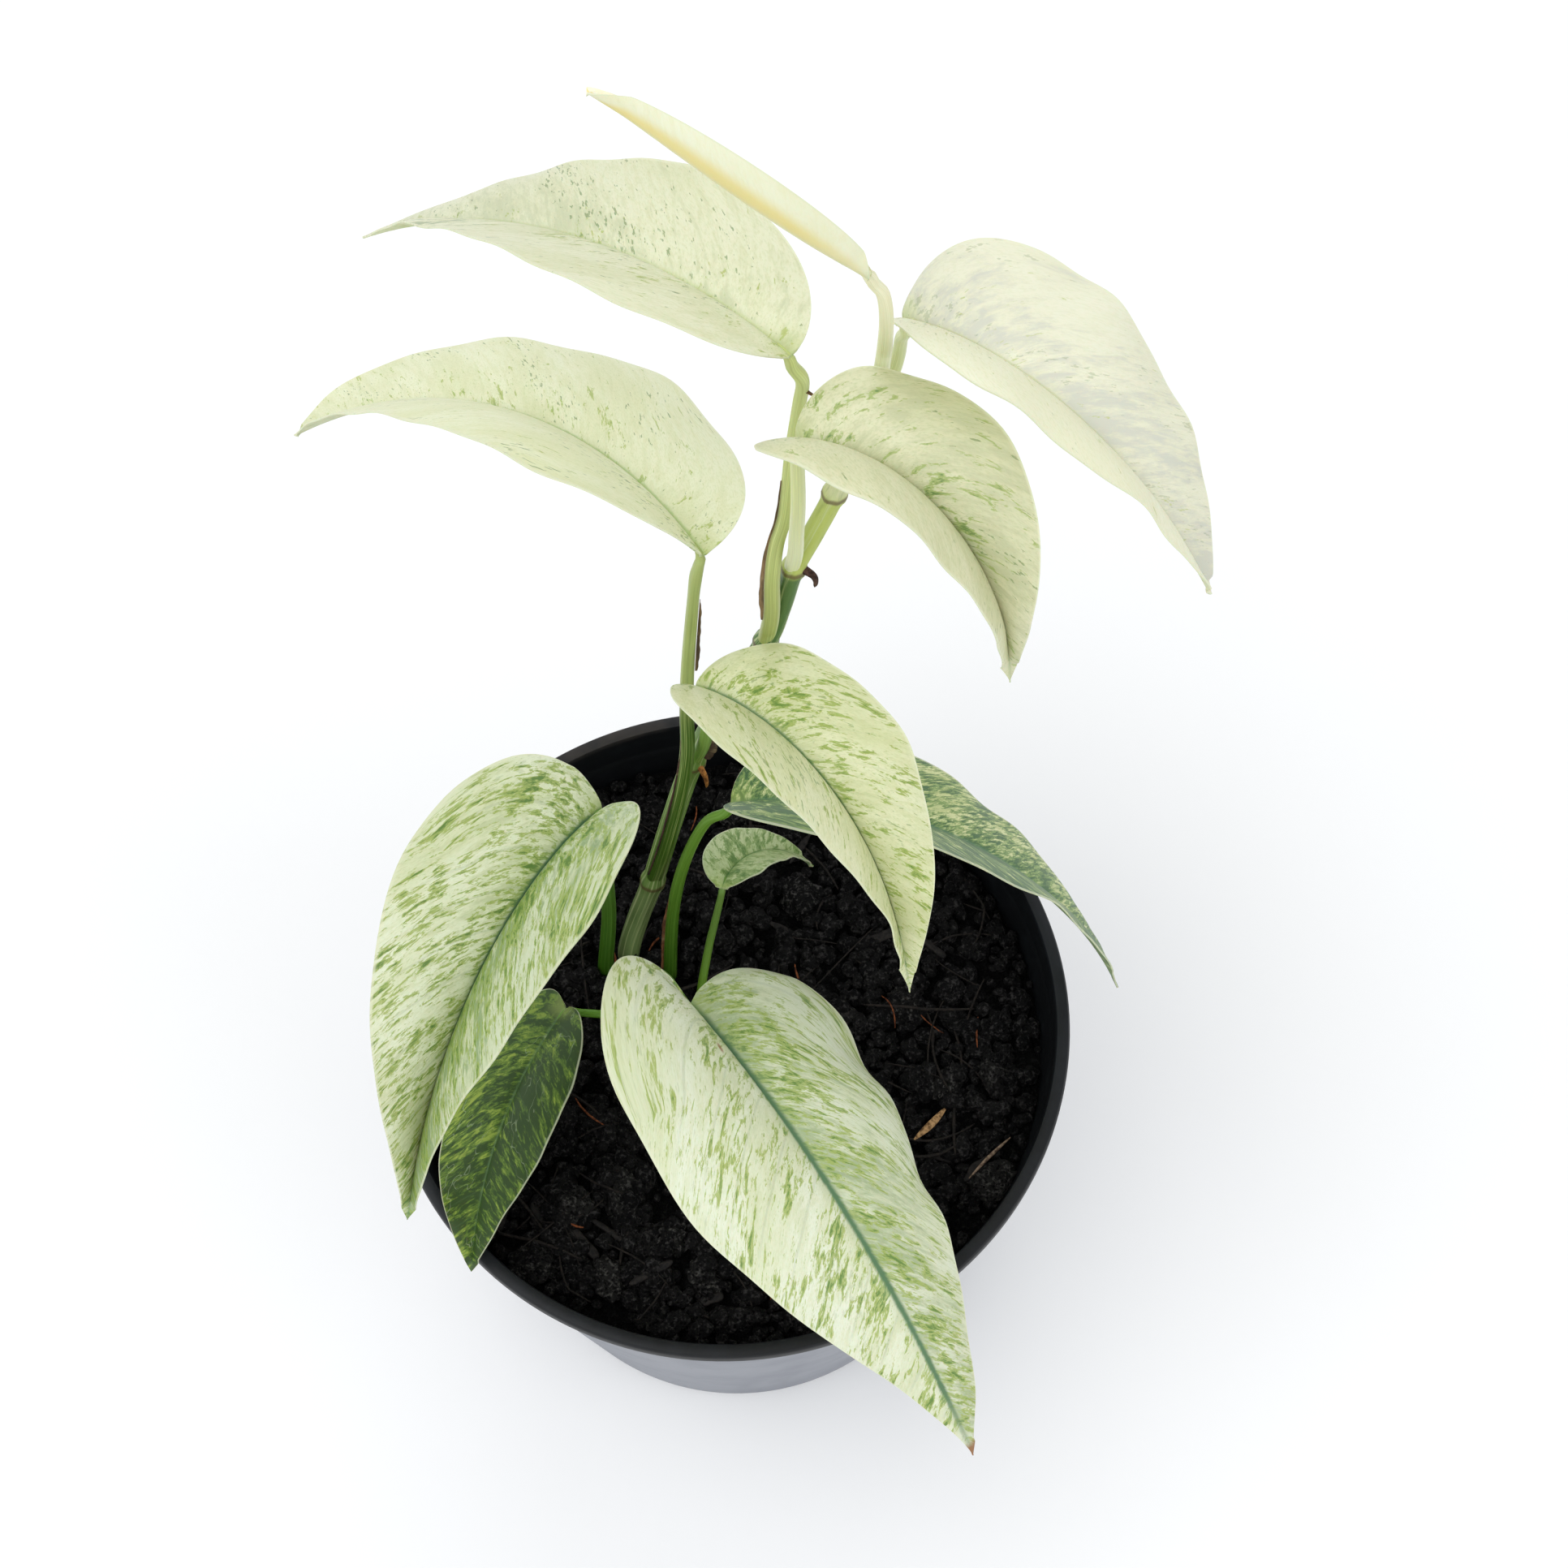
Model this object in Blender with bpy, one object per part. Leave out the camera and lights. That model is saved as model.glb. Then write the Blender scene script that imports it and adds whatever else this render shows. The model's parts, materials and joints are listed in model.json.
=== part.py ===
# Young variegated monstera in a round nursery pot.
# All sizes below are millimetres and degrees; the meshes are written in metres, +Z up,
# with the origin at the centre of the pot's underside.

import math
import random
from dataclasses import dataclass

import bpy
import bmesh
import numpy as np
from mathutils import Vector
from mathutils.bvhtree import BVHTree
from mathutils.geometry import delaunay_2d_cdt

MM = 0.001                  # one millimetre in metres
GAP = 0.3                   # clearance between touching pieces
FINE_STEPS = 400            # points of a finely sampled path
SPAN_STEPS = 24             # samples between two knots of a path

# Pot
POT_HEIGHT = 120.0
RIM_DIAMETER = 150.0
BASE_DIAMETER = 110.0
POT_WALL = 1.6
RIM_HEIGHT = 4.0            # thickness of the turned-out lip
RIM_OVERHANG = 1.6          # how far the lip stands out of the wall
RIM_ROUNDING = 0.8
BAND_DEPTH = 10.0           # stiffening band below the lip
BAND_STEP = 0.7
BASE_ROUNDING = 1.0
POT_SEGMENTS = 64
DRAIN_HOLES = 6
DRAIN_DIAMETER = 9.0
DRAIN_CIRCLE = 80.0
DRAIN_SIDES = 16
DRAIN_PHASE = 0.4           # turn of the circle, as a share of the holes' pitch

# Soil
SOIL_BELOW_RIM = 15.5
SOIL_SPACING = 3.7          # distance between the points of the soil's relief
SOIL_RIM_POINTS = 64
ROW_PITCH = math.sqrt(0.75)     # height of an equilateral triangle's rows
SOIL_EDGE_ROOM = 0.6            # free border inside the rim, as a share of the spacing
SOIL_DIP = 1.0                  # gaps between granules lie this far below the level
SOIL_SWELL = 0.8
SWELL_LENGTHS = (21.0, 17.0)
SWELL_PHASE = 0.6
GRANULES = 320
GRANULE_RADIUS = (1.8, 3.6)
GRANULE_HEIGHT = (0.4, 0.8)     # as shares of the radius
GRANULE_SEED = 7
COARSE = 1.35                   # granules at the front left are this much bigger
COARSE_CORNER = (5, -15)
# The biggest porous lumps: place and radius
LUMPS = [(-25, -31, 6.2), (-37, -35, 5.0), (-46, -47, 5.2), (-15, -44, 4.6), (-9, -53, 4.4),
         (55, -37, 4.6), (39, 5, 4.2)]
LUMP_HEIGHT = 0.7

# Plant
BLADE_THICKNESS = 0.7
BLADE_RIB = 0.9             # keel of the midrib under the blade, at its base
STALK_SPACING = 7.0         # between the rings of a stalk
NECK_SPACING = 1.7          # closer rings where it bends into the blade
NECK_LENGTH = 9.0
NECK_RADIUS = 0.28          # the stalk runs out to this inside the midrib
NECK_TAPER = (3.0, 0.85)    # how far from its end, and to what share, it has thinned
# The stalk's last points from the blade's base: back along the stalk, along the midrib, up
NECK_POINTS = ((2.6, 0.0, -1.1), (0.0, 0.3, -0.75), (0.0, 3.0, -0.15))
BLADE_ROWS = 15             # stations from base to tip
BLADE_COLUMNS = 3           # columns on each side of the midrib
EDGE_MIN = 0.3              # smallest half width, at the drawn-out tip
FOLD_ROOM = 1.5             # flat width a half needs before it can fold right up
ROLL_ROOM = 6.0             # half width below which a rolled leaf opens out
RIB_START = 10.0            # the keel reaches its full height a tenth of the way along
MIDRIB_STEPS = 60
MIDRIB_BACK = 0.3           # the midrib's line runs back this far, for the lobes
RIB_LENGTH = 60.0           # blades shorter than this have a lower keel
WAVE_PHASE = 1.3            # the two edges' waves are this far apart
LOBE_SHARPNESS = 7.0
STALK_SIDES = 8
STEM_SIDES = 10
THIN_SIDES = 6              # round sheaths, roots and litter
NODE_RING = 0.5             # how far the ring at a stem node stands proud
NODE_RING_LENGTH = 1.6
NODE_STEP = 2.2             # stations on both sides of a ring
STEM_SPACING = 14.0         # stations between the rings
SHARP_ANGLE = 40            # edges sharper than this stay crisp

# Roughness
PLASTIC_ROUGHNESS = 0.45
SOIL_ROUGHNESS = 0.95
LEAF_ROUGHNESS = 0.45
SKIN_ROUGHNESS = 0.5
BARK_ROUGHNESS = 0.7
DRY_ROUGHNESS = 0.8

# Colours, linear RGB
BLACK_PLASTIC = (0.012, 0.014, 0.018)
SOIL_BLACK = (0.010, 0.009, 0.009)
CREAM = (0.72, 0.75, 0.50)
PALE_YELLOW = (0.82, 0.80, 0.45)
MINT = (0.52, 0.60, 0.38)
DARK_GREEN = (0.045, 0.13, 0.035)
GREY_GREEN = (0.20, 0.30, 0.16)
STALK_GREEN = (0.13, 0.30, 0.05)
STALK_PALE = (0.45, 0.52, 0.22)
STEM_GREEN = (0.22, 0.33, 0.12)
SHEATH_BROWN = (0.20, 0.12, 0.06)
ROOT_BROWN = (0.16, 0.07, 0.03)
STRAW_BROWN = (0.35, 0.20, 0.09)


@dataclass
class Leaf:
    """One leaf: a heart-shaped outline, bent along its midrib, and the stalk that carries it.

    Pairs are (left, right) seen from above with the tip ahead.
    """
    base: tuple             # where the blade joins its stalk
    length: float
    half_width: tuple
    heading: float          # compass angle of the midrib at the base, from +X
    rise: float             # upward angle at the base
    droop: float            # how much the midrib turns down by the tip
    droop_rate: float       # below 1 bends near the base, above 1 near the tip
    turn: float             # sideways turn of the midrib by the tip
    roll: float             # roll about the midrib at the base
    twist: float            # added roll by the tip
    fold: tuple             # angle of each half above the flat at the midrib
    opening: float          # share of the fold that is lost by the tip
    curl: tuple             # how much each half bends down again by its edge
    taper: tuple            # higher is widest nearer the base
    lobe: tuple             # length of the lobes behind the stalk
    colour: tuple
    wave: float = 0.6       # height of the edge's waves
    waves: float = 3.0
    rolled: bool = False    # curl follows the narrowing blade, as in a rolled new leaf


LEAVES = {
    "top_rolled": Leaf(
        base=(30.1, 31.5, 353), length=51.5, half_width=(10.5, 3), heading=154.5, rise=24.5,
        droop=27, droop_rate=2.9, turn=-15, roll=-20, twist=0, fold=(35, 35), opening=0,
        curl=(-150, -105), taper=(0.4, 0.4), lobe=(0.3, 0.3), colour=PALE_YELLOW,
        wave=0.0, rolled=True),
    "upper_left": Leaf(
        base=(18, 33, 330), length=98.5, half_width=(20, 20), heading=136, rise=17,
        droop=63, droop_rate=0.7, turn=17, roll=9, twist=29, fold=(34, 34), opening=0.8,
        curl=(10, 10), taper=(1.4, 0.3), lobe=(0.5, 1.0), colour=CREAM),
    "middle_left": Leaf(
        base=(2, 38.5, 258), length=109.5, half_width=(25.5, 25.5), heading=119, rise=8,
        droop=50, droop_rate=0.8, turn=56, roll=33, twist=-3, fold=(32, 32), opening=0.2,
        curl=(36, 36), taper=(0.9, 0.7), lobe=(0, 0), colour=CREAM),
    "upper_centre": Leaf(
        base=(17.6, 22.8, 320), length=63, half_width=(17.7, 16.7), heading=-18, rise=27,
        droop=105, droop_rate=0.75, turn=-59, roll=-24, twist=40, fold=(50, 50),
        opening=-0.7, curl=(62, 62), taper=(1.7, 1.5), lobe=(0, 5), colour=CREAM,
        wave=0.5),
    "upper_right": Leaf(
        base=(36.7, 42.2, 323.6), length=73.2, half_width=(21, 14), heading=-36.5, rise=50,
        droop=102, droop_rate=0.5, turn=-12, roll=-10, twist=-27, fold=(43, 43),
        opening=0.25, curl=(40, 40), taper=(1.0, 0.6), lobe=(1.5, 0), colour=CREAM,
        wave=0.5),
    "centre": Leaf(
        base=(-1.5, 29, 224), length=81, half_width=(18.5, 19.5), heading=-33, rise=45,
        droop=105, droop_rate=0.5, turn=-49, roll=-26, twist=15, fold=(37, 37),
        opening=-0.7, curl=(44, 44), taper=(1.4, 1.8), lobe=(0, 0), colour=CREAM,
        wave=0.7),
    "left": Leaf(
        base=(-22.5, 30.5, 168), length=100, half_width=(26, 26), heading=-133, rise=43,
        droop=87, droop_rate=0.5, turn=26, roll=14, twist=-22, fold=(45, 45),
        opening=-0.8, curl=(44, 44), taper=(1.1, 1.1), lobe=(1.0, 4.0), colour=MINT),
    "low_left": Leaf(
        base=(-34.5, 1.5, 130), length=60.5, half_width=(14.5, 14.5), heading=-129,
        rise=-3, droop=4, droop_rate=0.8, turn=33, roll=37, twist=-31, fold=(21, 21),
        opening=-0.6, curl=(46, 46), taper=(0.8, 0.9), lobe=(2.5, 6.0),
        colour=DARK_GREEN, wave=0.4),
    "front": Leaf(
        base=(-7.5, -9.5, 156), length=115, half_width=(32.5, 32.5), heading=-60,
        rise=30, droop=70, droop_rate=1.15, turn=-6, roll=-42, twist=40, fold=(46, 46),
        opening=1.5, curl=(68, 68), taper=(1.1, 1.7), lobe=(13.5, 8.5), colour=MINT,
        wave=1.0, waves=3.5),
    "right": Leaf(
        base=(4, 31, 165), length=110, half_width=(26, 26), heading=-5, rise=19,
        droop=89, droop_rate=0.95, turn=-36, roll=-37, twist=-22, fold=(24, 24),
        opening=0.7, curl=(18, 18), taper=(1.0, 2.0), lobe=(0, 0), colour=DARK_GREEN,
        wave=0.8),
    "small": Leaf(
        base=(1, 24.5, 135), length=33, half_width=(8, 8), heading=70, rise=-1,
        droop=55, droop_rate=0.65, turn=-92, roll=-3, twist=-40, fold=(30, 30),
        opening=0.2, curl=(20, 20), taper=(1.5, 0.9), lobe=(0, 0), colour=GREY_GREEN,
        wave=0.2),
}

# The main stem leans back and climbs in a slight zigzag from node to node.
STEM_PATH = [
    (-21, 24, 92), (-21, 24, 104), (-18, 28.5, 113), (-14, 32, 125), (-8.5, 37, 146),
    (-3, 41, 166), (4.5, 41.5, 193), (13, 40, 220), (16, 39, 236), (18.4, 37.5, 253),
    (22.2, 38, 265), (25.8, 38.5, 277), (30, 38.5, 297), (33, 39, 313),
]
STEM_RADII = (2.5, 1.8)     # at the soil and at the top
STEM_NODES = (125, 166, 220, 253, 277, 297)     # heights of the rings


@dataclass
class Stalk:
    """The stalk of one leaf: the points it passes, from its foot to just short of the blade."""
    path: list
    radii: tuple            # at the foot and at the blade
    from_soil: bool
    colour: tuple


STALKS = {
    "top_rolled": Stalk(
        [(33, 39, 311), (33.1, 35.2, 327), (32.8, 32.3, 340), (32.1, 32, 347)],
        (1.4, 1.1), False, STALK_PALE),
    "upper_left": Stalk(
        [(13, 40, 220), (14, 36.4, 238), (14.2, 34.8, 255), (15.2, 36.6, 264),
         (17, 37.8, 273), (18.2, 37.8, 292), (19.4, 36.2, 310), (19.8, 34, 321)],
        (1.7, 1.1), False, STALK_PALE),
    "middle_left": Stalk(
        [(-14, 32, 125), (-10, 32, 146), (-6, 34, 167), (-4, 36, 182), (-3.5, 38.5, 194),
         (-3, 39, 205), (-2, 39.5, 220), (0, 38.5, 247)],
        (1.9, 1.1), False, STALK_PALE),
    "upper_centre": Stalk(
        [(18, 37.5, 253), (18.4, 33.4, 266), (18.4, 31, 276),
         (18.4, 26.4, 295), (18.2, 24.4, 309)],
        (1.5, 1.2), False, STALK_PALE),
    "upper_right": Stalk(
        [(29.8, 38.6, 296.5), (33.6, 43, 298.6), (35.9, 45.6, 303),
         (36.8, 45.5, 309), (37, 44.2, 316)],
        (1.4, 1.1), False, STALK_PALE),
    "centre": Stalk(
        [(-3, 41, 166), (-0.5, 37.5, 182), (0.5, 34.5, 199), (-0.5, 31, 215)],
        (1.5, 1.1), False, STALK_GREEN),
    "left": Stalk(
        [(-26.5, 20, 92), (-26.5, 20, 104), (-24.5, 26.4, 119), (-23.8, 29.8, 134),
         (-22.6, 31.5, 152)],
        (1.9, 1.3), True, STALK_GREEN),
    "low_left": Stalk(
        [(-17, 9, 92), (-17, 9, 104), (-20, 4, 119), (-24.5, 0, 128)],
        (1.2, 0.9), True, STALK_GREEN),
    "front": Stalk(
        [(-19, 16, 92), (-19, 16, 104), (-16.5, 10, 125), (-12.5, 1, 144)],
        (1.9, 1.4), True, STALK_GREEN),
    "right": Stalk(
        [(-12, 18.5, 92), (-12, 18.5, 104), (-10, 25, 124), (-6.5, 29, 141),
         (-1.5, 30.5, 157)],
        (1.7, 1.1), True, STALK_GREEN),
    "small": Stalk(
        [(-5.5, 12, 92), (-5.5, 12, 104), (-3, 18.4, 115), (-1.3, 21.3, 122)],
        (1.1, 0.8), True, STALK_GREEN),
}


@dataclass
class Sheath:
    """A dry papery wing that runs along one side of a stalk."""
    stalk: str
    span: tuple             # heights of its lower and upper end
    side: tuple             # horizontal direction from the stalk to the wing
    half_width: float


SHEATHS = {
    "sheath_middle_left": Sheath("middle_left", (212, 241), (1.0, 0.0), 0.6),
    "sheath_upper_left": Sheath("upper_left", (237, 284), (-1.0, -0.3), 0.6),
    "sheath_centre": Sheath("centre", (172, 190), (1.0, -0.4), 0.9),
}
SHEATH_THICKNESS = 0.64
SHEATH_TOP_SHARE = 0.45     # width at its top as a share of the width at its foot
SHEATH_STATIONS = 9
ROOT_STATIONS = 7
LITTER_STATIONS = 9

# Short aerial roots at two stem nodes: height, direction away from the stem, length, radii.
AERIAL_ROOTS = {
    "root_upper": (254.0, (0.8, -0.6), 4.4, (0.8, 0.4)),
    "root_lower": (167.0, (0.45, -0.9), 6.0, (0.75, 0.4)),
}
# Points of a root's hook, as shares of its length: out from the stem, then down
ROOT_HOOK = ((0.25, 0.1), (0.33, 0.5), (0.28, 1.0))

# Loose bits on the soil: two ends of each, and its half sizes across.
LITTER = {
    "straw": ([(39.0, -26.5), (43.0, -23.5), (46.5, -20.0)], (1.3, 0.4)),
    "twig": ([(50.0, -36.5), (54.5, -32.5), (60.0, -28.0)], (0.5, 0.5)),
}
LITTER_DIRECTION = (-0.6, 0.8, 0.0)     # across the width of each bit
LITTER_END = 0.25                       # how blunt the ends are
LITTER_DROP = 10.0                      # it is let down from this far above the rim


def clear_scene():
    for obj in list(bpy.data.objects):
        bpy.data.objects.remove(obj, do_unlink=True)


def make_material(name, colour, roughness):
    material = bpy.data.materials.new(name)
    material.use_nodes = True
    shader = material.node_tree.nodes["Principled BSDF"]
    shader.inputs["Base Color"].default_value = (*colour, 1.0)
    shader.inputs["Roughness"].default_value = roughness
    shader.inputs["Metallic"].default_value = 0.0
    material.diffuse_color = (*colour, 1.0)
    return material


def make_object(name, points, faces, colour, roughness=SKIN_ROUGHNESS):
    """A smooth-shaded mesh object from points in millimetres and its faces."""
    mesh = bpy.data.meshes.new(name)
    scaled = np.asarray(points, dtype=float) * MM
    mesh.from_pydata(scaled.tolist(), [], [list(map(int, face)) for face in faces])
    mesh.update()
    mesh.shade_smooth()
    mesh.set_sharp_from_angle(angle=math.radians(SHARP_ANGLE))
    mesh.materials.append(make_material(name, colour, roughness))
    obj = bpy.data.objects.new(name, mesh)
    bpy.context.scene.collection.objects.link(obj)
    return obj


def cut(obj, cutter):
    """Take the cutter's volume out of the object with a live Boolean."""
    cutter.hide_render = True
    cutter.display_type = "WIRE"
    modifier = obj.modifiers.new("cut_" + cutter.name, "BOOLEAN")
    modifier.operation = "DIFFERENCE"
    modifier.solver = "EXACT"
    modifier.object = cutter


def smooth_path(points, steps):
    """Points on a Catmull-Rom curve through the given points, evenly spaced by length."""
    knots = np.asarray(points, dtype=float)
    ends = np.vstack([2 * knots[0] - knots[1], knots, 2 * knots[-1] - knots[-2]])
    t = np.linspace(0.0, 1.0, SPAN_STEPS, endpoint=False)[:, None]
    spans = []
    for p0, p1, p2, p3 in zip(ends[:-3], ends[1:-2], ends[2:-1], ends[3:]):
        spans.append(0.5 * (2 * p1 + (p2 - p0) * t + (2 * p0 - 5 * p1 + 4 * p2 - p3) * t**2
                            + (3 * p1 - p0 - 3 * p2 + p3) * t**3))
    curve = np.vstack(spans + [knots[-1:]])
    lengths = np.concatenate([[0.0], np.cumsum(np.linalg.norm(np.diff(curve, axis=0), axis=1))])
    even = np.linspace(0.0, lengths[-1], steps)
    return np.stack([np.interp(even, lengths, curve[:, axis]) for axis in range(3)], axis=1)


def tube(name, path, widths, sides, colour, roughness=SKIN_ROUGHNESS, flat_axis=(1, 0, 0)):
    """A closed tube along the path.

    widths holds each station's half size along flat_axis and its half size across that.
    """
    path = np.asarray(path, dtype=float)
    tangents = np.gradient(path, axis=0)
    tangents /= np.linalg.norm(tangents, axis=1)[:, None]
    flat_axis = np.asarray(flat_axis, dtype=float)
    first = flat_axis - tangents * (tangents @ flat_axis)[:, None]
    first /= np.linalg.norm(first, axis=1)[:, None]
    second = np.cross(tangents, first)
    angles = np.arange(sides) * 2 * math.pi / sides
    widths = np.asarray(widths, dtype=float)
    rings = (path[:, None, :]
             + first[:, None, :] * (np.cos(angles)[None, :] * widths[:, :1])[:, :, None]
             + second[:, None, :] * (np.sin(angles)[None, :] * widths[:, 1:])[:, :, None])
    faces = []
    for station in range(len(path) - 1):
        low = station * sides
        for side in range(sides):
            after = (side + 1) % sides
            faces.append((low + side, low + after, low + sides + after, low + sides + side))
    faces.append(tuple(reversed(range(sides))))
    faces.append(tuple(range((len(path) - 1) * sides, len(path) * sides)))
    return make_object(name, rings.reshape(-1, 3), faces, colour, roughness)


def round_widths(radii):
    radii = np.asarray(radii, dtype=float)
    return np.stack([radii, radii], axis=1)


def lathe(name, profile, segments, colour, roughness):
    """Turn a line of (radius, height) about Z and close its first and last rings with flat faces."""
    angles = np.arange(segments) * 2 * math.pi / segments
    points = []
    for radius, height in profile:
        points += [(radius * math.cos(a), radius * math.sin(a), height) for a in angles]
    faces = []
    for ring in range(len(profile) - 1):
        low = ring * segments
        high = low + segments
        for side in range(segments):
            after = (side + 1) % segments
            faces.append((low + side, low + after, high + after, high + side))
    faces.append(tuple(reversed(range(segments))))
    faces.append(tuple(range((len(profile) - 1) * segments, len(profile) * segments)))
    return make_object(name, points, faces, colour, roughness)


def inner_radius(height):
    """Radius of the pot's inner wall at a height above its underside."""
    outer_top = RIM_DIAMETER / 2 - RIM_OVERHANG - BAND_STEP
    share = height / (POT_HEIGHT - BAND_DEPTH)
    return BASE_DIAMETER / 2 + (outer_top - BASE_DIAMETER / 2) * share - POT_WALL


def build_pot():
    rim = RIM_DIAMETER / 2
    base = BASE_DIAMETER / 2
    band = rim - RIM_OVERHANG
    lip_low = POT_HEIGHT - RIM_HEIGHT
    band_low = POT_HEIGHT - BAND_DEPTH
    inner_low = inner_radius(band_low)
    inner_band = inner_low + RIM_ROUNDING
    profile = [
        (base - BASE_ROUNDING, 0.0), (base, BASE_ROUNDING), (band - BAND_STEP, band_low),
        (band, band_low + BAND_STEP), (band, lip_low), (rim - RIM_ROUNDING, lip_low),
        (rim, lip_low + RIM_ROUNDING), (rim, POT_HEIGHT - RIM_ROUNDING),
        (rim - RIM_ROUNDING, POT_HEIGHT), (inner_band + RIM_ROUNDING, POT_HEIGHT),
        (inner_band, POT_HEIGHT - RIM_ROUNDING), (inner_band, band_low + BAND_STEP),
        (inner_low, band_low - BAND_STEP), (inner_radius(POT_WALL), POT_WALL),
    ]
    pot = lathe("pot", profile, POT_SEGMENTS, BLACK_PLASTIC, PLASTIC_ROUGHNESS)
    for index in range(DRAIN_HOLES):
        angle = (index + DRAIN_PHASE) * 2 * math.pi / DRAIN_HOLES
        bpy.ops.mesh.primitive_cylinder_add(
            vertices=DRAIN_SIDES, radius=DRAIN_DIAMETER / 2 * MM, depth=4 * POT_WALL * MM,
            location=(DRAIN_CIRCLE / 2 * math.cos(angle) * MM,
                      DRAIN_CIRCLE / 2 * math.sin(angle) * MM, POT_WALL / 2 * MM))
        drain = bpy.context.object
        drain.name = f"drain_cutter_{index + 1}"
        cut(pot, drain)
    return pot


def granules():
    """Centres, radii and heights of the soil's granules, drawn from a fixed seed, and lumps."""
    draw = random.Random(GRANULE_SEED)
    limit = inner_radius(POT_HEIGHT - SOIL_BELOW_RIM)
    rows = []
    for _ in range(GRANULES):
        distance = limit * math.sqrt(draw.random())
        angle = draw.uniform(0, 2 * math.pi)
        x = distance * math.cos(angle)
        y = distance * math.sin(angle)
        coarse = COARSE if x < COARSE_CORNER[0] and y < COARSE_CORNER[1] else 1.0
        radius = draw.uniform(*GRANULE_RADIUS) * coarse
        rows.append((x, y, radius, draw.uniform(*GRANULE_HEIGHT) * radius))
    rows += [(x, y, radius, LUMP_HEIGHT * radius) for x, y, radius in LUMPS]
    return np.array(rows)


def soil_height(x, y, lumps):
    """A gently uneven level plus the highest rounded lump over each point."""
    level = POT_HEIGHT - SOIL_BELOW_RIM
    swell = np.sin(x / SWELL_LENGTHS[0] + SWELL_PHASE) * np.cos(y / SWELL_LENGTHS[1])
    near = np.hypot(x[:, None] - lumps[:, 0], y[:, None] - lumps[:, 1]) / lumps[:, 2]
    caps = lumps[:, 3] * np.sqrt(np.clip(1 - near**2, 0, None))
    return level - SOIL_DIP + SOIL_SWELL * swell + caps.max(axis=1)


def build_soil():
    level = POT_HEIGHT - SOIL_BELOW_RIM
    top_radius = inner_radius(level) - GAP
    low_radius = inner_radius(POT_WALL + GAP) - GAP
    low = POT_WALL + GAP
    angles = np.arange(SOIL_RIM_POINTS) * 2 * math.pi / SOIL_RIM_POINTS
    rim = np.stack([np.cos(angles), np.sin(angles)], axis=1)
    inside = []
    rows = int(top_radius / (SOIL_SPACING * ROW_PITCH)) + 1
    for row in range(-rows, rows + 1):
        for column in range(-rows, rows + 1):
            x = (column + 0.5 * (row % 2)) * SOIL_SPACING
            y = row * SOIL_SPACING * ROW_PITCH
            if math.hypot(x, y) < top_radius - SOIL_EDGE_ROOM * SOIL_SPACING:
                inside.append((x, y))
    flat = np.vstack([rim * top_radius, np.array(inside)])
    edges = [(i, (i + 1) % SOIL_RIM_POINTS) for i in range(SOIL_RIM_POINTS)]
    _, _, triangles, _, _, _ = delaunay_2d_cdt(
        [Vector(point) for point in flat], edges, [], 1, 1e-5)
    lumps = granules()
    height = soil_height(flat[:, 0], flat[:, 1], lumps)
    height[:SOIL_RIM_POINTS] = level
    top = np.column_stack([flat, height])
    bottom = np.column_stack([rim * low_radius, np.full(SOIL_RIM_POINTS, low)])
    points = np.vstack([top, bottom])
    first_low = len(top)
    faces = [tuple(triangle) for triangle in triangles]
    for side in range(SOIL_RIM_POINTS):
        after = (side + 1) % SOIL_RIM_POINTS
        faces.append((side, first_low + side, first_low + after, after))
    faces.append(tuple(first_low + side for side in reversed(range(SOIL_RIM_POINTS))))
    return make_object("soil", points, faces, SOIL_BLACK, SOIL_ROUGHNESS)


def stem_radius(height):
    """Tapered radius with a rounded ring at each node."""
    low = STEM_PATH[1][2]
    high = STEM_PATH[-1][2]
    share = np.clip((height - low) / (high - low), 0, 1)
    radius = STEM_RADII[0] + (STEM_RADII[1] - STEM_RADII[0]) * share
    for node in STEM_NODES:
        radius = radius + NODE_RING * np.exp(-((height - node) / NODE_RING_LENGTH) ** 2)
    return radius


def stem_stations():
    """Stations along the stem, closer together at the node rings."""
    curve = smooth_path(STEM_PATH, FINE_STEPS)
    heights = list(np.arange(STEM_PATH[0][2], STEM_PATH[-1][2], STEM_SPACING))
    for node in STEM_NODES:
        heights = [h for h in heights if abs(h - node) > 2 * NODE_STEP]
        heights += [node - NODE_STEP, node, node + NODE_STEP]
    heights = sorted(h for h in heights if h < STEM_PATH[-1][2]) + [STEM_PATH[-1][2]]
    return np.stack([np.interp(heights, curve[:, 2], curve[:, axis]) for axis in range(3)], axis=1)


def build_stem():
    path = stem_stations()
    radii = stem_radius(path[:, 2])
    stem = tube("stem", path, round_widths(radii), STEM_SIDES, STEM_GREEN)
    longer = path.copy()
    longer[0, 2] -= GAP
    longer[-1] += GAP * (path[-1] - path[-2]) / np.linalg.norm(path[-1] - path[-2])
    clearance = tube("stem_clearance", longer, round_widths(radii + GAP), STEM_SIDES, STEM_GREEN)
    hole = tube("stem_hole", longer, round_widths(radii + GAP), STEM_SIDES, STEM_GREEN)
    return stem, clearance, hole


def midrib_frame(leaf, u):
    """Tangent, leftward and upward directions of the blade at the share u of its length."""
    bend = np.sign(u) * np.abs(u) ** leaf.droop_rate
    pitch = np.radians(leaf.rise - leaf.droop * bend)
    heading = np.radians(leaf.heading + leaf.turn * u)
    roll = np.radians(leaf.roll + leaf.twist * u)[:, None]
    tangent = np.stack([np.cos(pitch) * np.cos(heading), np.cos(pitch) * np.sin(heading),
                        np.sin(pitch)], axis=1)
    level = np.stack([-np.sin(heading), np.cos(heading), np.zeros_like(heading)], axis=1)
    upright = np.cross(tangent, level)
    left = level * np.cos(roll) + upright * np.sin(roll)
    up = upright * np.cos(roll) - level * np.sin(roll)
    return tangent, left, up


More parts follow.
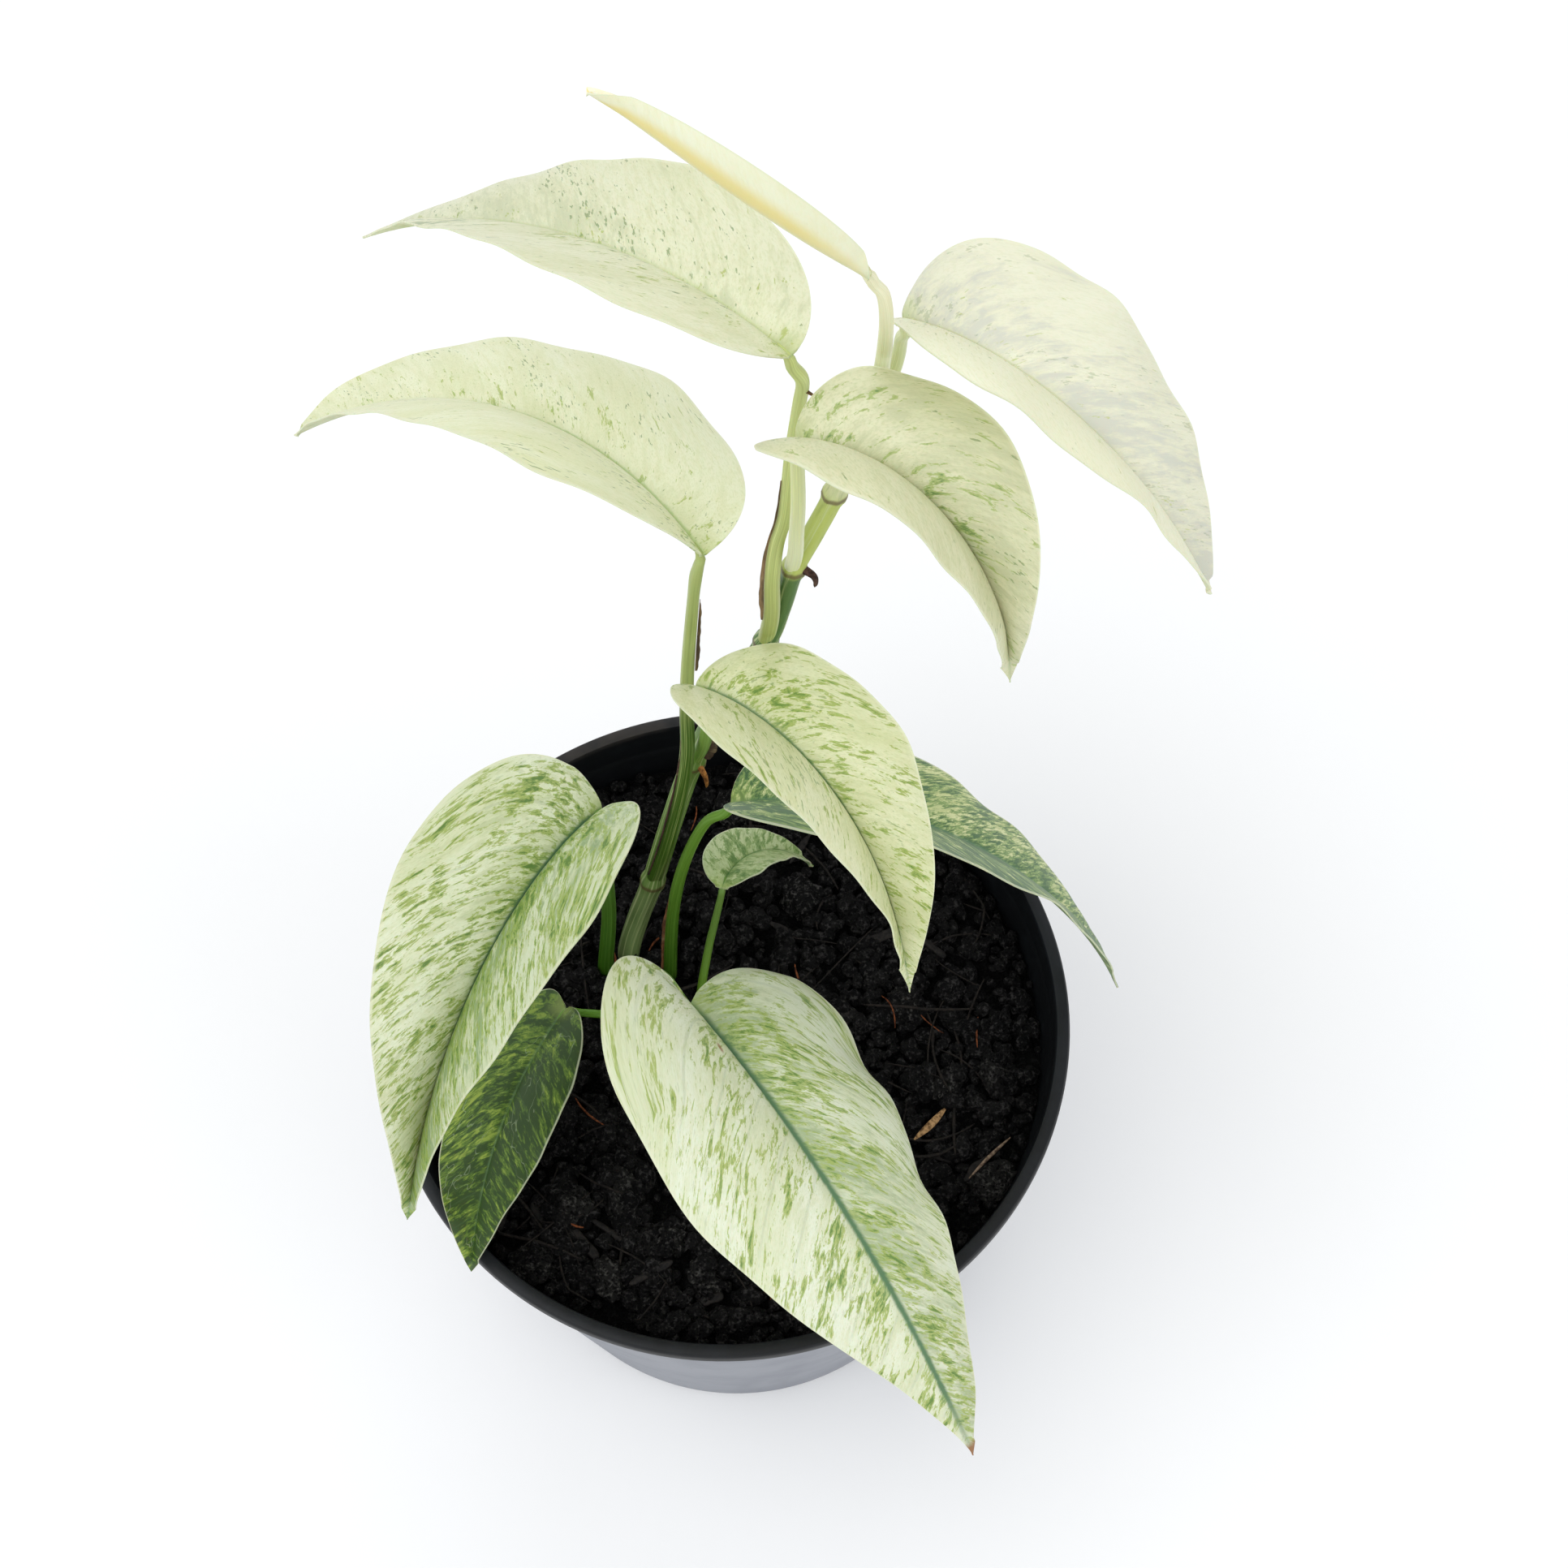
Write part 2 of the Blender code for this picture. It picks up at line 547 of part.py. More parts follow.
def midrib_points(leaf, u):
    """Points of the bent midrib: its tangent summed along the length, from the base both ways."""
    grid = np.linspace(-MIDRIB_BACK, 1.0, int((1 + MIDRIB_BACK) * MIDRIB_STEPS) + 1)
    middle = (grid[1:] + grid[:-1]) / 2
    tangent, _, _ = midrib_frame(leaf, middle)
    steps = tangent * np.diff(grid)[:, None] * leaf.length
    curve = np.vstack([np.zeros(3), np.cumsum(steps, axis=0)])
    start = np.array([np.interp(0.0, grid, curve[:, axis]) for axis in range(3)])
    curve = curve - start + np.array(leaf.base, dtype=float)
    return np.stack([np.interp(u, grid, curve[:, axis]) for axis in range(3)], axis=1)


def bump(angle, power):
    """sin times a power of cos, scaled so that its highest value is one."""
    peak = math.atan(math.sqrt(1 / power))
    return np.sin(angle) * np.cos(angle) ** power / (math.sin(peak) * math.cos(peak) ** power)


def outline(leaf, side, angle):
    """Flat edge point of one half, base to tip as the angle goes from 0 to 90 degrees."""
    along = leaf.length * np.sin(angle) ** 2 - leaf.lobe[side] * bump(angle, LOBE_SHARPNESS)
    across = leaf.half_width[side] * bump(angle, leaf.taper[side] + 1)
    return along, np.maximum(across, EDGE_MIN)


def bend_blade(leaf, side, along, across, local_width):
    """Place flat points of one half on the bent blade; returns points and upward normals."""
    u = along / leaf.length
    sign = 1.0 if side == 0 else -1.0
    spine = midrib_points(leaf, u)
    _, left, up = midrib_frame(leaf, u)
    width = local_width if leaf.rolled else np.full_like(across, leaf.half_width[side])
    narrow = np.clip(local_width / ROLL_ROOM, 0.05, 1) if leaf.rolled else 1.0
    fold = np.radians(leaf.fold[side] * (1 - leaf.opening * np.clip(u, 0, 1)))
    most = np.arccos(np.clip(FOLD_ROOM / local_width, 0, 1))
    fold = np.clip(fold, -most, most)
    curl = math.radians(leaf.curl[side]) * narrow
    angle = fold - curl * across / width
    out = width / curl * (np.sin(fold) - np.sin(angle))
    lift = width / curl * (np.cos(angle) - np.cos(fold))
    ripple = leaf.wave * np.sin(2 * math.pi * leaf.waves * u + WAVE_PHASE * side)
    lift = lift + ripple * (across / width) ** 2
    points = spine + sign * left * out[:, None] + up * lift[:, None]
    normals = up * np.cos(angle)[:, None] - sign * left * np.sin(angle)[:, None]
    return points, normals


def build_blade(name, leaf):
    """A closed thin blade: the same triangles above and below, joined along the edge."""
    columns = 2 * BLADE_COLUMNS + 1
    angles = np.linspace(0.0, math.pi / 2, BLADE_ROWS + 1)[1:-1]
    middle = leaf.length * np.sin(angles) ** 2
    spine = midrib_points(leaf, middle / leaf.length)
    _, _, up = midrib_frame(leaf, middle / leaf.length)
    grid = np.zeros((len(angles), columns, 3))
    normal = np.zeros_like(grid)
    grid[:, BLADE_COLUMNS] = spine
    normal[:, BLADE_COLUMNS] = up
    for side in (0, 1):
        edge_along, edge_across = outline(leaf, side, angles)
        for step in range(1, BLADE_COLUMNS + 1):
            share = step / BLADE_COLUMNS
            along = middle + (edge_along - middle) * share
            points, normals = bend_blade(leaf, side, along, edge_across * share, edge_across)
            column = BLADE_COLUMNS + step * (1 if side == 0 else -1)
            grid[:, column] = points
            normal[:, column] = normals
    rib = np.zeros((len(angles), columns, 1))
    share = np.sin(angles) ** 2
    rib[:, BLADE_COLUMNS, 0] = (BLADE_RIB * min(1, leaf.length / RIB_LENGTH) * (1 - share)
                                * np.clip(RIB_START * share, 0, 1))
    poles = midrib_points(leaf, np.array([0.0, 1.0]))
    _, _, pole_up = midrib_frame(leaf, np.array([0.0, 1.0]))
    half = BLADE_THICKNESS / 2
    top = np.vstack([(grid + normal * half).reshape(-1, 3), poles + pole_up * half])
    low = np.vstack([(grid - normal * (half + rib)).reshape(-1, 3), poles - pole_up * half])
    base_pole = len(angles) * columns
    tip_pole = base_pole + 1
    layer = len(top)
    upper = []
    for column in range(columns - 1):
        upper.append((base_pole, column + 1, column))
        last_row = (len(angles) - 1) * columns
        upper.append((tip_pole, last_row + column, last_row + column + 1))
        for row in range(len(angles) - 1):
            a = row * columns + column
            b = a + columns
            if column < BLADE_COLUMNS:
                upper += [(a, a + 1, b + 1), (a, b + 1, b)]
            else:
                upper += [(a, a + 1, b), (a + 1, b + 1, b)]
    faces = [tuple(reversed(face)) for face in upper]
    faces += [tuple(layer + index for index in face) for face in upper]
    right_edge = [base_pole] + [row * columns for row in range(len(angles))] + [tip_pole]
    left_edge = [tip_pole] + [row * columns + columns - 1
                              for row in reversed(range(len(angles)))] + [base_pole]
    for edge in (right_edge, left_edge):
        for a, b in zip(edge[:-1], edge[1:]):
            faces += [(a, b, layer + b), (a, layer + b, layer + a)]
    blade = make_object(name, np.vstack([top, low]), faces, leaf.colour,
                        LEAF_ROUGHNESS)
    turn_outwards(blade)
    return blade


def turn_outwards(obj):
    shell = bmesh.new()
    shell.from_mesh(obj.data)
    bmesh.ops.recalc_face_normals(shell, faces=shell.faces)
    shell.to_mesh(obj.data)
    shell.free()


def stalk_line(stalk, leaf):
    """Points along a stalk and its radius at each, from the foot to inside the midrib."""
    base = np.array(leaf.base, dtype=float)
    tangent, _, up = midrib_frame(leaf, np.array([0.0]))
    knots = [np.array(point, dtype=float) for point in stalk.path]
    approach = (base - knots[-1]) / np.linalg.norm(base - knots[-1])
    for back, ahead, rise in NECK_POINTS:
        knots.append(base - back * approach + ahead * tangent[0] + rise * up[0])
    fine = smooth_path(knots, FINE_STEPS)
    reach = np.concatenate([[0.0], np.cumsum(np.linalg.norm(np.diff(fine, axis=0), axis=1))])
    neck = reach[-1] - NECK_LENGTH
    lower = np.linspace(0.0, neck, max(3, round(neck / STALK_SPACING)), endpoint=False)
    upper = np.linspace(neck, reach[-1], round(NECK_LENGTH / NECK_SPACING) + 1)
    along = np.concatenate([lower, upper])
    path = np.stack([np.interp(along, reach, fine[:, axis]) for axis in range(3)], axis=1)
    radii = np.interp(along, [0.0, neck, reach[-1] - NECK_TAPER[0], reach[-1]],
                      [*stalk.radii, NECK_TAPER[1] * stalk.radii[1], NECK_RADIUS])
    return path, radii


def build_leaf(key, leaf, stalk, stem_clearance, soil):
    """One leaf as it grows: the blade joined to its stalk, which stands in the soil or
    ends in a saddle just clear of the stem."""
    blade = build_blade("leaf_" + key, leaf)
    path, radii = stalk_line(stalk, leaf)
    tube_part = tube("stalk_" + key, path, round_widths(radii), STALK_SIDES, stalk.colour)
    if stalk.from_soil:
        longer = path.copy()
        longer[0, 2] -= GAP
        hole = tube("hole_" + key, longer, round_widths(radii + GAP), STALK_SIDES, stalk.colour)
        cut(soil, hole)
    else:
        cut(tube_part, stem_clearance)
    tube_part.hide_render = True
    tube_part.display_type = "WIRE"
    modifier = blade.modifiers.new("join_stalk", "BOOLEAN")
    modifier.operation = "UNION"
    modifier.solver = "EXACT"
    modifier.object = tube_part
    return blade


def build_sheath(name, sheath):
    """A flat tapering strip a clearance away from its stalk's side."""
    line, radii = stalk_line(STALKS[sheath.stalk], LEAVES[sheath.stalk])
    heights = np.linspace(*sheath.span, SHEATH_STATIONS)
    centre = np.stack([np.interp(heights, line[:, 2], line[:, axis]) for axis in range(3)], axis=1)
    tangents = np.gradient(centre, axis=0)
    tangents /= np.linalg.norm(tangents, axis=1)[:, None]
    side = np.array([*sheath.side, 0.0])
    across = side - tangents * (tangents @ side)[:, None]
    across /= np.linalg.norm(across, axis=1)[:, None]
    taper = np.linspace(1.0, SHEATH_TOP_SHARE, len(heights))
    away = radii[0] + GAP + sheath.half_width * taper
    path = centre + across * away[:, None]
    widths = np.stack([sheath.half_width * taper,
                       np.full(len(heights), SHEATH_THICKNESS / 2)], axis=1)
    tube(name, path, widths, THIN_SIDES, SHEATH_BROWN, BARK_ROUGHNESS, side)


def build_aerial_root(name, height, direction, length, radii):
    """A short root that leaves the stem sideways and hooks down."""
    stations = smooth_path(STEM_PATH, FINE_STEPS)
    axis = np.array([np.interp(height, stations[:, 2], stations[:, k]) for k in range(3)])
    away = np.array([*direction, 0.0]) / math.hypot(*direction)
    start = axis + away * (float(stem_radius(np.array([height]))[0]) + 2 * GAP)
    down = np.array([0.0, 0.0, -1.0])
    knots = [start]
    knots += [start + (away * out + down * fall) * length for out, fall in ROOT_HOOK]
    path = smooth_path(knots, ROOT_STATIONS)
    widths = round_widths(np.linspace(*radii, ROOT_STATIONS))
    tube(name, path, widths, THIN_SIDES, ROOT_BROWN, BARK_ROUGHNESS)


def drop_onto(obj, ground):
    """Lower the object straight down until it rests the usual gap above the ground mesh."""
    tree = BVHTree.FromPolygons([v.co for v in ground.data.vertices],
                                [tuple(p.vertices) for p in ground.data.polygons])
    falls = []
    for vertex in obj.data.vertices:
        hit, _, _, distance = tree.ray_cast(vertex.co, Vector((0, 0, -1)))
        if hit is not None:
            falls.append(distance)
    fall = min(falls) - GAP * MM
    for vertex in obj.data.vertices:
        vertex.co.z -= fall


def build_litter(soil):
    start_height = POT_HEIGHT + LITTER_DROP
    for name, (line, half_sizes) in LITTER.items():
        path = smooth_path([(x, y, start_height) for x, y in line], LITTER_STATIONS)
        ends = np.sin(np.linspace(LITTER_END, math.pi - LITTER_END, len(path))) ** 0.5
        widths = np.stack([half_sizes[0] * ends, np.full(len(path), half_sizes[1])], axis=1)
        piece = tube(name, path, widths, THIN_SIDES, STRAW_BROWN, DRY_ROUGHNESS,
                     LITTER_DIRECTION)
        drop_onto(piece, soil)


def build_plant(soil):
    _, clearance, hole = build_stem()
    clearance.hide_render = True
    clearance.display_type = "WIRE"
    cut(soil, hole)
    for key, leaf in LEAVES.items():
        build_leaf(key, leaf, STALKS[key], clearance, soil)
    for name, sheath in SHEATHS.items():
        build_sheath(name, sheath)
    for name, root in AERIAL_ROOTS.items():
        build_aerial_root(name, *root)


clear_scene()
build_pot()
ground = build_soil()
build_litter(ground)
build_plant(ground)
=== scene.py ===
import json
import math
import random
import statistics

import bmesh
import bpy
import numpy as np
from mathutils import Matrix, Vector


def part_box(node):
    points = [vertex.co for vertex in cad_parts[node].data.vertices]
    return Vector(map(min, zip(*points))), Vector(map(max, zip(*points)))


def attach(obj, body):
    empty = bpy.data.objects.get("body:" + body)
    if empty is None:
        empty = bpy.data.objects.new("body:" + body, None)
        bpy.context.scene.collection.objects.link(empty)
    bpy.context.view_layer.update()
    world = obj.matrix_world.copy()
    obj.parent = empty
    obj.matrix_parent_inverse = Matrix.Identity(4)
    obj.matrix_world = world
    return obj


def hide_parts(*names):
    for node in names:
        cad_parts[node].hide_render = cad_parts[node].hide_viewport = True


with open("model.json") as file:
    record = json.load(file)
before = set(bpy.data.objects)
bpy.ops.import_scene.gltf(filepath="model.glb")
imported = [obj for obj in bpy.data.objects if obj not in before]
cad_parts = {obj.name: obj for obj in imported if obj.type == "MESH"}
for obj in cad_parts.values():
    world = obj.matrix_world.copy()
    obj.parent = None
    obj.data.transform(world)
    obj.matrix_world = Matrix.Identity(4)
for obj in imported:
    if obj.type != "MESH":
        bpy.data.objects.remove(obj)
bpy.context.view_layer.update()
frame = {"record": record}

mm = 0.001                # all sizes below are in millimetres and become metres in fillMesh


# Shader maths as plain expressions: every sum on a Num adds its Math node.
class Num:
    def __init__(self, board, socket):
        self.board = board
        self.socket = socket

    def calc(self, operation, *others):
        node = self.board.node("ShaderNodeMath", {"operation": operation}, {})
        for slot, value in enumerate((self,) + others):
            self.board.feed(node.inputs[slot], value)
        return Num(self.board, node.outputs[0])

    def __add__(self, other): return self.calc("ADD", other)
    def __radd__(self, other): return self.calc("ADD", other)
    def __sub__(self, other): return self.calc("SUBTRACT", other)
    def __rsub__(self, other): return (self * -1.0) + other
    def __mul__(self, other): return self.calc("MULTIPLY", other)
    def __rmul__(self, other): return self.calc("MULTIPLY", other)
    def __truediv__(self, other): return self.calc("DIVIDE", other)
    def __pow__(self, other): return self.calc("POWER", other)
    def __abs__(self): return self.calc("ABSOLUTE")
    def least(self, other): return self.calc("MINIMUM", other)
    def most(self, other): return self.calc("MAXIMUM", other)

    # start up to low, end from high on, and a smooth step between them
    def ramp(self, low, high, start=0.0, end=1.0):
        node = self.board.node("ShaderNodeMapRange", {"interpolation_type": "SMOOTHSTEP"},
                               {"Value": self, "From Min": low, "From Max": high,
                                "To Min": start, "To Max": end})
        return Num(self.board, node.outputs["Result"])


# One material's nodes.
class Board:
    def __init__(self, name):
        self.material = bpy.data.materials.new(name)
        self.material.use_nodes = True
        self.tree = self.material.node_tree
        self.skin = self.tree.nodes["Principled BSDF"]

    def feed(self, socket, value):
        if isinstance(value, Num):
            value = value.socket
        if isinstance(value, bpy.types.NodeSocket):
            self.tree.links.new(value, socket)
        elif isinstance(value, tuple) and socket.type == "RGBA":
            socket.default_value = (*value, 1.0)
        else:
            socket.default_value = value

    def node(self, kind, settings, values):
        made = self.tree.nodes.new(kind)
        for key, setting in settings.items():
            setattr(made, key, setting)
        for key, value in values.items():
            self.feed(made.inputs[key], value)
        return made

    def finish(self, **values):
        for key, value in values.items():
            self.feed(self.skin.inputs[key.replace("_", " ")], value)
        return self.material

    def mix(self, share, low, high, blend="MIX"):
        made = self.node("ShaderNodeMix", {"data_type": "RGBA", "blend_type": blend},
                         {0: share, 6: low, 7: high})
        return made.outputs[2]

    def objectPlace(self):
        return self.node("ShaderNodeTexCoord", {}, {}).outputs["Object"]

    def attribute(self, name):
        return self.node("ShaderNodeAttribute", {"attribute_name": name}, {}).outputs["Vector"]

    def split(self, vector):
        made = self.node("ShaderNodeSeparateXYZ", {}, {0: vector})
        return [Num(self, made.outputs[k]) for k in range(3)]

    def join(self, x, y, z):
        return self.node("ShaderNodeCombineXYZ", {}, {0: x, 1: y, 2: z}).outputs[0]

    def scaled(self, vector, scale, shift=(0, 0, 0)):
        return self.node("ShaderNodeMapping", {},
                         {"Vector": vector, "Scale": scale, "Location": shift}).outputs[0]

    def noise(self, vector, scale, detail=3.0, rough=0.55, bend=0.0):
        made = self.node("ShaderNodeTexNoise", {},
                         {"Vector": vector, "Scale": scale, "Detail": detail,
                          "Roughness": rough, "Distortion": bend})
        return Num(self, made.outputs[0])

    def cells(self, vector, scale, feature="F1"):
        made = self.node("ShaderNodeTexVoronoi", {"feature": feature},
                         {"Vector": vector, "Scale": scale})
        return Num(self, made.outputs["Distance"])

    def bump(self, height, strength, distance):
        made = self.node("ShaderNodeBump", {},
                         {"Height": height, "Strength": strength, "Distance": distance * mm})
        return made.outputs[0]


def tint(red, green, blue):
    # screen colour, 0 to 255, as linear light: ((c + 0.055) / 1.055) to the power 2.4
    return tuple(((c / 255 + 0.055) / 1.055) ** 2.4 if c > 10 else c / 255 / 12.92
                 for c in (red, green, blue))


def fillMesh(name, points, quads, triangles=None, attributes=None, sharp=60):
    # the arrays of corners and faces go straight into a new mesh
    triangles = np.zeros((0, 3), int) if triangles is None else triangles
    corners = np.concatenate([quads.ravel(), triangles.ravel()]).astype(np.int32)
    starts = np.concatenate([np.arange(len(quads)) * 4,
                             len(quads) * 4 + np.arange(len(triangles)) * 3]).astype(np.int32)
    mesh = bpy.data.meshes.new(name)
    mesh.vertices.add(len(points))
    mesh.vertices.foreach_set("co", (np.asarray(points) * mm).astype(np.float32).ravel())
    mesh.loops.add(len(corners))
    mesh.loops.foreach_set("vertex_index", corners)
    mesh.polygons.add(len(starts))
    mesh.polygons.foreach_set("loop_start", starts)
    for key, values in (attributes or {}).items():
        layer = mesh.attributes.new(key, "FLOAT_VECTOR", "POINT")
        layer.data.foreach_set("vector", np.asarray(values, dtype=np.float32).ravel())
    mesh.update(calc_edges=True)
    mesh.validate()
    mesh.shade_smooth()
    if sharp:
        mesh.set_sharp_from_angle(angle=math.radians(sharp))
    return mesh


def placePiece(name, mesh, material, slot, *nodes):
    mesh.materials.append(material)
    piece = bpy.data.objects.new(name, mesh)
    bpy.context.scene.collection.objects.link(piece)
    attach(piece, "root")
    if nodes:
        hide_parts(*nodes)
    return piece


def gridQuads(rows, columns, wrap=False):
    # cell (r, c) joins points (r, c), (r, c+1), (r+1, c+1), (r+1, c); wrap closes each row
    r = np.arange(rows - 1)[:, None]
    c = np.arange(columns if wrap else columns - 1)[None, :]
    after = (c + 1) % columns
    return np.stack([r * columns + c, r * columns + after,
                     (r + 1) * columns + after, (r + 1) * columns + c], axis=-1).reshape(-1, 4)


def smoothPath(points, steps):
    # Catmull-Rom through the points, then spaced evenly by length
    knots = np.asarray(points, dtype=float)
    ends = np.vstack([2 * knots[0] - knots[1], knots, 2 * knots[-1] - knots[-2]])
    t = np.linspace(0, 1, 24, endpoint=False)[:, None]
    spans = [0.5 * (2 * b + (c - a) * t + (2 * a - 5 * b + 4 * c - d) * t**2
                    + (3 * b - a - 3 * c + d) * t**3)
             for a, b, c, d in zip(ends[:-3], ends[1:-2], ends[2:-1], ends[3:])]
    curve = np.vstack(spans + [knots[-1:]])
    return evenly(curve, np.linspace(0, 1, steps))


def evenly(curve, shares):
    reach = np.concatenate([[0], np.cumsum(np.linalg.norm(np.diff(curve, axis=0), axis=1))])
    return np.stack([np.interp(shares * reach[-1], reach, curve[:, k]) for k in range(3)], axis=1)


def tubeMesh(name, path, radii, sides, flatAxis=(1, 0, 0), shape=None, turn=0.0):
    # ring i: path[i] + radii[i] * shape(angle) * (first cos + second sin); ends closed by fans
    path = np.asarray(path, dtype=float)
    tangent = np.gradient(path, axis=0)
    tangent /= np.linalg.norm(tangent, axis=1)[:, None]
    axis = np.asarray(flatAxis, dtype=float)
    first = axis - tangent * (tangent @ axis)[:, None]
    first /= np.linalg.norm(first, axis=1)[:, None]
    second = np.cross(tangent, first)
    angle = np.arange(sides) * 2 * math.pi / sides + turn
    size = np.asarray(radii)[:, None] * (np.ones((len(path), sides)) if shape is None else shape)
    rings = (path[:, None] + first[:, None] * (np.cos(angle) * size)[..., None]
             + second[:, None] * (np.sin(angle) * size)[..., None])
    along = np.concatenate([[0], np.cumsum(np.linalg.norm(np.diff(path, axis=0), axis=1))])
    around = np.stack([np.cos(angle) + 0 * along[:, None], np.sin(angle) + 0 * along[:, None],
                       along[:, None] / 10 + 0 * angle], axis=-1)
    share = np.stack([along[:, None] / along[-1] + 0 * angle, angle + 0 * along[:, None],
                      0 * angle + 0 * along[:, None]], axis=-1)
    points = np.vstack([rings.reshape(-1, 3), path[:1], path[-1:]])
    foot, head = len(points) - 2, len(points) - 1
    side = np.arange(sides)
    last = (len(path) - 1) * sides
    fans = np.vstack([np.stack([(side + 1) % sides, side, side * 0 + foot], axis=1),
                      np.stack([last + side, last + (side + 1) % sides, side * 0 + head], axis=1)])
    attributes = {
        "around": np.vstack([around.reshape(-1, 3), [[0, 0, 0]], [[0, 0, along[-1] / 10]]]),
        "place": np.vstack([share.reshape(-1, 3), [[0, 0, 0]], [[1, 0, 0]]]),
    }
    return fillMesh(name, points, gridQuads(len(path), sides, wrap=True), fans, attributes)


# Leaves: the outline and the bend of each are those of its solid

leafShapes = {
    "top_rolled": dict(
        base=(30.1, 31.5, 353), length=51.5, halfWidth=(10.5, 3), heading=154.5, rise=24.5,
        droop=27, droopRate=2.9, turn=-15, roll=-20, twist=0, fold=(35, 35), opening=0,
        curl=(-150, -105), taper=(0.4, 0.4), lobe=(0.3, 0.3), wave=0.0, waves=3.0,
        rolled=True),
    "upper_left": dict(
        base=(18, 33, 330), length=98.5, halfWidth=(20, 20), heading=136, rise=17, droop=63,
        droopRate=0.7, turn=17, roll=9, twist=29, fold=(34, 34), opening=0.8, curl=(10, 10),
        taper=(1.4, 0.3), lobe=(0.5, 1.0), wave=0.6, waves=3.0, rolled=False),
    "middle_left": dict(
        base=(2, 38.5, 258), length=109.5, halfWidth=(25.5, 25.5), heading=119, rise=8,
        droop=50, droopRate=0.8, turn=56, roll=33, twist=-3, fold=(32, 32), opening=0.2,
        curl=(36, 36), taper=(0.9, 0.7), lobe=(0, 0), wave=0.6, waves=3.0, rolled=False),
    "upper_centre": dict(
        base=(17.6, 22.8, 320), length=63, halfWidth=(17.7, 16.7), heading=-18, rise=27,
        droop=105, droopRate=0.75, turn=-59, roll=-24, twist=40, fold=(50, 50), opening=-0.7,
        curl=(62, 62), taper=(1.7, 1.5), lobe=(0, 5), wave=0.5, waves=3.0, rolled=False),
    "upper_right": dict(
        base=(36.7, 42.2, 323.6), length=73.2, halfWidth=(21, 14), heading=-36.5, rise=50,
        droop=102, droopRate=0.5, turn=-12, roll=-10, twist=-27, fold=(43, 43), opening=0.25,
        curl=(40, 40), taper=(1.0, 0.6), lobe=(1.5, 0), wave=0.5, waves=3.0, rolled=False),
    "centre": dict(
        base=(-1.5, 29, 224), length=81, halfWidth=(18.5, 19.5), heading=-33, rise=45,
        droop=105, droopRate=0.5, turn=-49, roll=-26, twist=15, fold=(37, 37), opening=-0.7,
        curl=(44, 44), taper=(1.4, 1.8), lobe=(0, 0), wave=0.7, waves=3.0, rolled=False),
    "left": dict(
        base=(-22.5, 30.5, 168), length=100, halfWidth=(26, 26), heading=-133, rise=43,
        droop=87, droopRate=0.5, turn=26, roll=14, twist=-22, fold=(45, 45), opening=-0.8,
        curl=(44, 44), taper=(1.1, 1.1), lobe=(1.0, 4.0), wave=0.6, waves=3.0, rolled=False),
    "low_left": dict(
        base=(-34.5, 1.5, 130), length=60.5, halfWidth=(14.5, 14.5), heading=-129, rise=-3,
        droop=4, droopRate=0.8, turn=33, roll=37, twist=-31, fold=(21, 21), opening=-0.6,
        curl=(46, 46), taper=(0.8, 0.9), lobe=(2.5, 6.0), wave=0.4, waves=3.0, rolled=False),
    "front": dict(
        base=(-7.5, -9.5, 156), length=115, halfWidth=(32.5, 32.5), heading=-60, rise=30,
        droop=70, droopRate=1.15, turn=-6, roll=-42, twist=40, fold=(46, 46), opening=1.5,
        curl=(68, 68), taper=(1.1, 1.7), lobe=(13.5, 8.5), wave=1.0, waves=3.5, rolled=False),
    "right": dict(
        base=(4, 31, 165), length=110, halfWidth=(26, 26), heading=-5, rise=19, droop=89,
        droopRate=0.95, turn=-36, roll=-37, twist=-22, fold=(24, 24), opening=0.7,
        curl=(18, 18), taper=(1.0, 2.0), lobe=(0, 0), wave=0.8, waves=3.0, rolled=False),
    "small": dict(
        base=(1, 24.5, 135), length=33, halfWidth=(8, 8), heading=70, rise=-1, droop=55,
        droopRate=0.65, turn=-92, roll=-3, twist=-40, fold=(30, 30), opening=0.2,
        curl=(20, 20), taper=(1.5, 0.9), lobe=(0, 0), wave=0.2, waves=3.0, rolled=False),
}

bladeBuild = dict(rows=96, columns=18, thickness=0.5, keel=0.75, keelWidth=1.1,
                  groove=0.22, grooveWidth=0.8, quilt=0.14, veinSlope=0.8, veinTurn=30.0,
                  veinCurve=0.011, veins=11.0, edgeMin=0.12, foldRoom=1.5, rollRoom=6.0,
                  lobeSharpness=7.0)


def midribFrame(leaf, u):
    # pitch falls by droop * u^rate, heading turns evenly, roll adds twist * u
    bend = np.sign(u) * np.abs(u) ** leaf["droopRate"]
    pitch = np.radians(leaf["rise"] - leaf["droop"] * bend)
    heading = np.radians(leaf["heading"] + leaf["turn"] * u)
    roll = np.radians(leaf["roll"] + leaf["twist"] * u)[:, None]
    tangent = np.stack([np.cos(pitch) * np.cos(heading), np.cos(pitch) * np.sin(heading),
                        np.sin(pitch)], axis=1)
    level = np.stack([-np.sin(heading), np.cos(heading), 0 * heading], axis=1)
    upright = np.cross(tangent, level)
    return (tangent, level * np.cos(roll) + upright * np.sin(roll),
            upright * np.cos(roll) - level * np.sin(roll))


def midribPoints(leaf, u):
    # the tangent summed along the length, both ways from the base
    grid = np.linspace(-0.3, 1.0, 79)
    steps = midribFrame(leaf, (grid[1:] + grid[:-1]) / 2)[0] * np.diff(grid)[:, None]
    curve = np.vstack([np.zeros(3), np.cumsum(steps * leaf["length"], axis=0)])
    start = np.array([np.interp(0.0, grid, curve[:, k]) for k in range(3)])
    curve = curve - start + np.array(leaf["base"], dtype=float)
    return np.stack([np.interp(u, grid, curve[:, k]) for k in range(3)], axis=1)


